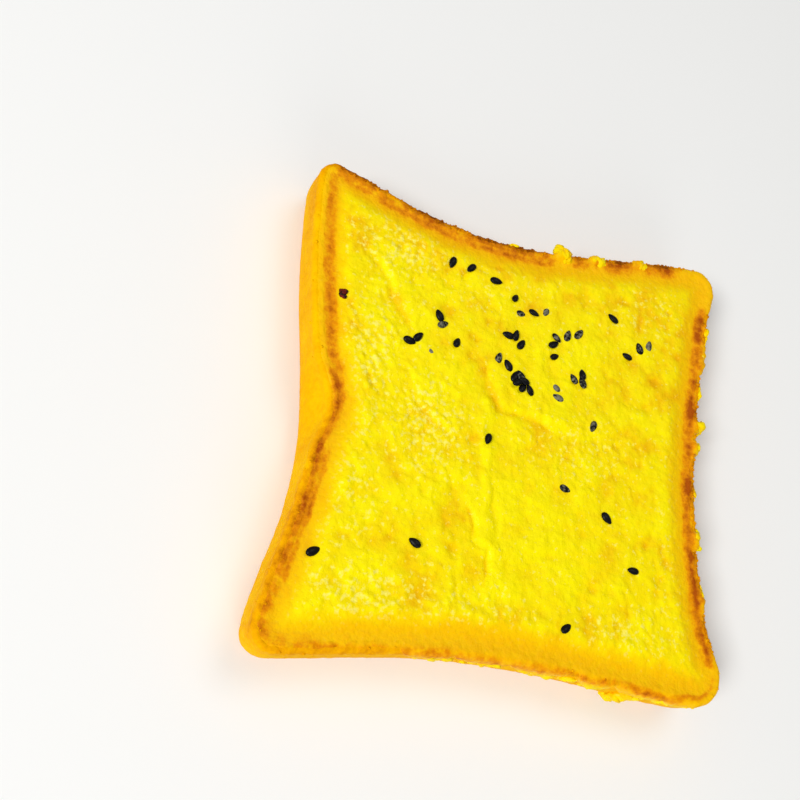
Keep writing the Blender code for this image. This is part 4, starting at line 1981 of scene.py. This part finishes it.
@dataclass
class SesameSeeds:
    """Black sesame seeds pressed into the butter, some under a film of it."""

    spread: ButterSpread
    length: float = 3.15
    width: float = 2.0
    thickness: float = 1.15
    taper: float = 0.38
    sink: float = 0.30
    film_sink: float = 0.3
    tilt: float = 9.0
    roll: float = 8.0
    segments: int = 14
    rings: int = 9
    groups: tuple[SeedGroup, ...] = (
        SeedGroup(-18.0, 37.8, ((-2.4, 0.1, 256, 0.0, 0.0), (2.4, -0.2, 228, 0.0, 0.0))),
        SeedGroup(-8.9, 36.0, ((0.0, 0.0, 354, 0.0, 0.0),)),
        SeedGroup(-3.5, 32.9, ((0.0, 0.0, 61, 0.1, 0.0),)),
        SeedGroup(
            1.9,
            30.4,
            ((-3.2, -0.9, 353, 0.5, -0.2), (-0.2, -0.1, 334, 0.0, 0.1), (3.2, 0.9, 244, 0.6, -0.3)),
        ),
        SeedGroup(24.0, 34.6, ((0.0, 0.0, 142, 0.1, 0.0),)),
        SeedGroup(-22.1, 22.2, ((-0.5, 1.0, 120, 0.0, 0.1), (0.6, -0.9, 30, 0.55, 0.0))),
        SeedGroup(-28.3, 15.9, ((1.0, 0.7, 50, 0.1, 0.2), (-0.9, -0.6, 350, 0.2, 0.0))),
        SeedGroup(-17.6, 17.7, ((0.0, 0.0, 67, 0.0, 0.0),)),
        SeedGroup(-23.8, 13.7, ((0.0, 0.0, 130, 0.75, -0.5),)),
        SeedGroup(
            -3.0,
            22.2,
            ((-1.7, 0.6, 170, 0.0, 0.0), (0.2, 0.9, 80, 0.1, 0.3), (1.8, -1.0, 60, 0.1, 0.0)),
        ),
        SeedGroup(12.8, 27.1, ((-1.6, -0.6, 80, 0.5, 0.0), (1.5, 0.7, 55, 0.5, 0.0))),
        SeedGroup(7.7, 23.9, ((0.3, 1.2, 320, 0.45, 0.3), (-0.3, -0.6, 35, 0.25, 0.0))),
        SeedGroup(7.8, 20.2, ((0.0, 0.0, 30, 0.1, 0.0),)),
        SeedGroup(33.2, 28.6, ((-1.5, -0.5, 120, 0.45, 0.0), (1.4, 0.9, 80, 0.6, -0.2))),
        SeedGroup(28.3, 25.3, ((0.0, 0.0, 157, 0.1, 0.0),)),
        SeedGroup(-5.5, 15.7, ((-1.3, 0.6, 82, 0.5, 0.0), (1.3, -0.6, 122, 0.3, 0.0))),
        SeedGroup(
            14.6,
            16.2,
            ((-1.2, -0.4, 130, 0.5, 0.0), (1.1, 1.3, 100, 0.35, 0.0), (1.1, -0.9, 110, 0.45, 0.1)),
        ),
        SeedGroup(
            -0.8,
            11.4,
            (
                (-1.6, 1.3, 70, 0.15, 0.0),
                (-0.2, 1.6, 130, 0.45, 0.3),
                (-1.0, -0.2, 30, 0.0, 0.5),
                (0.4, -1.2, 60, 0.0, 0.1),
                (2.3, -1.4, 120, 0.1, 0.0),
                (0.6, 0.4, 160, 0.3, 0.5),
            ),
        ),
        SeedGroup(9.0, 11.3, ((-0.4, 1.3, 147, 0.65, -0.3), (0.4, -1.3, 163, 0.6, -0.2))),
        SeedGroup(19.0, 4.8, ((0.0, 0.0, 249, 0.5, -0.1),)),
        SeedGroup(-8.4, -4.1, ((0.0, 0.0, 251, 0.0, 0.0),)),
        SeedGroup(12.0, -11.8, ((0.0, 0.0, 344, 0.5, -0.1),)),
        SeedGroup(23.0, -16.9, ((0.0, 0.0, 313, 0.0, 0.0),)),
        SeedGroup(-23.6, -30.2, ((0.0, 0.0, 150, 0.0, 0.0),)),
        SeedGroup(-45.2, -35.4, ((0.0, 0.0, 30, 0.0, 0.1),)),
        SeedGroup(30.2, -28.0, ((0.0, 0.0, 178, 0.1, 0.0),)),
        SeedGroup(13.2, -43.1, ((0.0, 0.0, 41, 0.25, 0.0),)),
    )

    def _tree(self, inputs: tuple[NodeInput, ...]) -> NodeTree:
        """Build the tree that shapes one seed and sets it on every point.

        Args:
            inputs: the tree's named inputs.

        Returns:
            The tree.
        """
        tree, given = start_tree("sesame_seeds", inputs)
        steps = {"Segments": self.segments, "Rings": self.rings}
        ball = add_node(tree, "GeometryNodeMeshUVSphere", {**steps, "Radius": 0.5})
        place = add_node(tree, "GeometryNodeInputPosition")
        parts = add_node(tree, "ShaderNodeSeparateXYZ", links={0: place})
        forward = add_node(tree, "ShaderNodeMath", {"operation": "ADD", 1: 0.5}, {0: parts})
        squared = add_node(
            tree, "ShaderNodeMath", {"operation": "MULTIPLY"}, {0: forward, 1: forward},
        )
        pulled = add_node(
            tree, "ShaderNodeMath", {"operation": "MULTIPLY"},
            {0: squared, 1: given.outputs["Taper"]},
        )
        slim = add_node(tree, "ShaderNodeMath", {"operation": "SUBTRACT", 0: 1.0}, {1: pulled})
        sizes = [given.outputs[name] for name in ("Length", "Width", "Thickness")]
        size = add_node(tree, "ShaderNodeCombineXYZ", links=dict(enumerate(sizes)))
        thin = add_node(tree, "ShaderNodeCombineXYZ", {0: 1.0}, {1: slim, 2: slim})
        sized = add_node(
            tree, "ShaderNodeVectorMath", {"operation": "MULTIPLY"}, {0: place, 1: size},
        )
        shaped = add_node(
            tree, "ShaderNodeVectorMath", {"operation": "MULTIPLY"}, {0: sized, 1: thin},
        )
        seed = add_node(
            tree, "GeometryNodeSetPosition",
            links={"Geometry": ball.outputs["Mesh"], "Position": shaped},
        )
        turned = add_node(
            tree, "GeometryNodeInputNamedAttribute",
            {"data_type": "FLOAT_VECTOR", "Name": "turned"},
        )
        scale = add_node(
            tree, "GeometryNodeInputNamedAttribute", {"data_type": "FLOAT", "Name": "size"},
        )
        set_down = add_node(
            tree, "GeometryNodeInstanceOnPoints",
            links={
                "Points": given.outputs["Geometry"], "Instance": seed, "Rotation": turned,
                "Scale": scale,
            },
        )
        return finish_tree(tree, given, set_down)

    def build(self) -> Object:
        """Set every seed on the butter.

        Returns:
            The piece.
        """
        rng = np.random.default_rng(7)
        rows = []
        for group in self.groups:
            for dx, dy, turn, film, rise in group.seeds:
                rows.append((group.x + dx, group.y + dy, turn, film, rise))
        table = np.array(rows)
        height = self.spread.height(table[:, :2])
        z = height + self.thickness / 2 - self.sink - self.film_sink * table[:, 3] + table[:, 4]
        carrier = make_piece("seed_places", np.column_stack([table[:, :2], z]), [])
        turned = np.column_stack(
            [
                radians(self.tilt) * rng.normal(size=len(table)),
                radians(self.roll) * rng.normal(size=len(table)),
                np.radians(table[:, 2]),
            ]
        )
        layer = carrier.data.attributes.new("turned", "FLOAT_VECTOR", "POINT")
        layer.data.foreach_set("vector", turned.astype(np.float32).reshape(-1))
        for key, values in (("size", rng.uniform(0.9, 1.06, len(table))), ("film", table[:, 3])):
            layer = carrier.data.attributes.new(key, "FLOAT", "POINT")
            layer.data.foreach_set("value", values.astype(np.float32))
        inputs = (
            NodeInput("Length", "NodeSocketFloat", self.length * MM),
            NodeInput("Width", "NodeSocketFloat", self.width * MM),
            NodeInput("Thickness", "NodeSocketFloat", self.thickness * MM),
            NodeInput("Taper", "NodeSocketFloat", self.taper),
            NodeInput("Material", "NodeSocketMaterial", SeedFinish().make()),
        )
        piece = grow("sesame_seeds", carrier, self._tree(inputs), inputs)
        bpy.data.objects.remove(carrier)
        return piece

    def dress(self, piece: Object) -> None:
        """Put the seeds on the slice's body."""
        record(piece)


def finish_tree(tree: NodeTree, given: Node, instances: Node) -> NodeTree:
    """End a tree: realise its instances, smooth them and give them their material.

    Args:
        tree: the tree.
        given: its input node, with a Material input.
        instances: the node that sets the instances down.

    Returns:
        The same tree.
    """
    real = add_node(tree, "GeometryNodeRealizeInstances", links={"Geometry": instances})
    smooth = add_node(tree, "GeometryNodeSetShadeSmooth", links={"Geometry": real})
    dressed = add_node(
        tree, "GeometryNodeSetMaterial",
        links={"Geometry": smooth, "Material": given.outputs["Material"]},
    )
    add_node(tree, "NodeGroupOutput", links={"Geometry": dressed})
    return tree


@dataclass
class ToastCrumbs:
    """Crumbs strewn over the slice, thickest where an attribute of it is high."""

    name: str = "toast_crumbs"
    attribute: str = "crumbs"
    per_square_mm: float = 0.6
    smallest: float = 0.45
    largest: float = 1.15
    narrowness: float = 0.8
    flatness: float = 0.65
    lean: float = 0.5
    seed: int = 5
    slot: str = "toasted_bread"

    def _tree(self, inputs: tuple[NodeInput, ...]) -> NodeTree:
        """Build the tree that strews the bits.

        Args:
            inputs: the tree's named inputs.

        Returns:
            The tree.
        """
        tree, given = start_tree(self.name, inputs)
        share = add_node(
            tree, "GeometryNodeInputNamedAttribute", {"data_type": "FLOAT", "Name": self.attribute},
        )
        density = add_node(
            tree, "ShaderNodeMath", {"operation": "MULTIPLY"},
            {0: share, 1: given.outputs["Density"]},
        )
        strewn = add_node(
            tree, "GeometryNodeDistributePointsOnFaces",
            links={
                "Mesh": given.outputs["Geometry"], "Density": density,
                "Seed": given.outputs["Seed"],
            },
        )
        bit = add_node(tree, "GeometryNodeMeshIcoSphere", {"Radius": 0.5, "Subdivisions": 1})
        flat = add_node(
            tree, "GeometryNodeTransform", {"Scale": (1.0, self.narrowness, self.flatness)},
            {"Geometry": bit},
        )
        size = add_node(
            tree, "FunctionNodeRandomValue", {"data_type": "FLOAT"},
            {
                2: given.outputs["Smallest"], 3: given.outputs["Largest"],
                "Seed": given.outputs["Seed"],
            },
        )
        set_down = add_node(
            tree, "GeometryNodeInstanceOnPoints",
            links={
                "Points": strewn.outputs["Points"], "Instance": flat,
                "Rotation": strewn.outputs["Rotation"], "Scale": size.outputs[1],
            },
        )
        least, most = (-self.lean, -self.lean, -pi), (self.lean, self.lean, pi)
        spun = add_node(
            tree, "FunctionNodeRandomValue", {"data_type": "FLOAT_VECTOR", 0: least, 1: most},
            {"Seed": given.outputs["Seed"]},
        )
        rotated = add_node(
            tree, "GeometryNodeRotateInstances", links={"Instances": set_down, "Rotation": spun},
        )
        return finish_tree(tree, given, rotated)

    def build(self, carrier: Object, finish: Material) -> Object:
        """Strew the bits over a piece.

        Args:
            carrier: the piece that they lie on.
            finish: their material.

        Returns:
            The new piece.
        """
        inputs = (
            NodeInput("Density", "NodeSocketFloat", self.per_square_mm / MM**2),
            NodeInput("Smallest", "NodeSocketFloat", self.smallest * MM),
            NodeInput("Largest", "NodeSocketFloat", self.largest * MM),
            NodeInput("Seed", "NodeSocketInt", self.seed),
            NodeInput("Material", "NodeSocketMaterial", finish),
        )
        piece = grow(self.name, carrier, self._tree(inputs), inputs)
        record(piece)
        return piece


# ---------------------------------------------------------------- studio


@dataclass(frozen=True)
class Softbox:
    """A square light that faces the toast: its place and side in millimetres, and watts."""

    name: str
    place: tuple[float, float, float]
    size: float
    power: float

    def hang(self) -> None:
        """Hang the light."""
        data = bpy.data.lights.new(self.name, "AREA")
        data.size = self.size * MM
        data.energy = self.power
        lamp = bpy.data.objects.new(self.name, data)
        lamp.location = Vector(self.place) * MM
        lamp.rotation_mode = "QUATERNION"
        lamp.rotation_quaternion = Vector(self.place).to_track_quat("Z", "Y")
        bpy.context.scene.collection.objects.link(lamp)


@dataclass
class Studio:
    """A pale floor, soft lights and the camera."""

    azimuth: float = -40.62
    elevation: float = 62.47
    roll: float = 49.90
    distance: float = 199.1
    look_at: tuple[float, float, float] = (-29.8, 0.9, 15.4)
    focal_length: float = 40.5
    floor_size: float = 12000.0
    softboxes: tuple[Softbox, ...] = (
        Softbox("key_softbox", (-925.0, -425.0, 1025.0), 425.0, 13.4),
        Softbox("fill_softbox", (325.0, 500.0, 1350.0), 650.0, 4.0),
        Softbox("front_softbox", (150.0, -1100.0, 420.0), 600.0, 2.6),
    )
    sky: float = 0.30
    floor_gap: float = 0.05

    def floor(self) -> Object:
        """Lay the floor just under the toast.

        Returns:
            The floor, which isn't part of the object.
        """
        half = self.floor_size / 2
        level = CAD_BOX[0].z / MM - self.floor_gap
        corners = np.array([(-half, -half), (half, -half), (half, half), (-half, half)])
        points = np.column_stack([corners, np.full(4, level)])
        floor = make_piece("studio_floor", points, [(0, 1, 2, 3)])
        floor.data.materials.append(FloorFinish().make())
        return floor

    def camera(self) -> Object:
        """Set the camera up.

        Returns:
            The camera.
        """
        az, el, roll = (radians(angle) for angle in (self.azimuth, self.elevation, self.roll))
        back = Vector((sin(az) * cos(el), -cos(az) * cos(el), sin(el)))
        right = (-back).cross(Vector((0.0, 0.0, 1.0))).normalized()
        up = right.cross(-back)
        turned_right = right * cos(roll) + up * sin(roll)
        turned_up = up * cos(roll) - right * sin(roll)
        place = (Vector(self.look_at) + back * self.distance) * MM
        data = bpy.data.cameras.new("camera")
        data.lens = self.focal_length
        data.sensor_width = 36.0
        camera = bpy.data.objects.new("camera", data)
        columns = Matrix((turned_right, turned_up, back)).transposed().to_4x4()
        camera.matrix_world = Matrix.Translation(place) @ columns
        bpy.context.scene.collection.objects.link(camera)
        bpy.context.scene.camera = camera
        return camera

    def build(self) -> None:
        """Set up floor, lights, sky, camera and colour handling."""
        self.floor()
        for softbox in self.softboxes:
            softbox.hang()
        world = bpy.data.worlds.new("studio_sky")
        world.use_nodes = True
        sky = world.node_tree.nodes["Background"]
        sky.inputs["Color"].default_value = linear("#FFFFFF")
        sky.inputs["Strength"].default_value = self.sky
        scene = bpy.context.scene
        scene.world = world
        scene.view_settings.view_transform = "Standard"
        self.camera()


def main() -> None:
    """Build the toast piece by piece, then the studio."""
    logging.basicConfig(level=logging.INFO, format="%(name)s: %(message)s")
    form = SliceForm()
    tone = CrustTone(form)
    relief = CrustRelief(form, tone)
    bread = ToastedSlice(form, tone, relief)
    slice_piece = bread.build()
    spread = ButterSpread(form, tone, relief)
    butter_piece = spread.build()
    clumps = ButterClumps(form)
    clump_piece = clumps.build()
    burnt = BurntCrumb(spread)
    burnt_piece = burnt.build()
    seeds = SesameSeeds(spread)
    seed_piece = seeds.build()
    bread.dress(slice_piece)
    spread.dress(butter_piece)
    clumps.dress(clump_piece)
    burnt.dress(burnt_piece)
    seeds.dress(seed_piece)
    crumb_piece = ToastCrumbs().build(slice_piece, bpy.data.materials[CrustFinish().name])
    pieces = (slice_piece, butter_piece, clump_piece, burnt_piece, seed_piece, crumb_piece)
    for piece in pieces:
        piece.data.calc_loop_triangles()
        report.info("%s: %d triangles", piece.name, len(piece.data.loop_triangles))
    Studio().build()


if __name__ == "__main__":
    main()
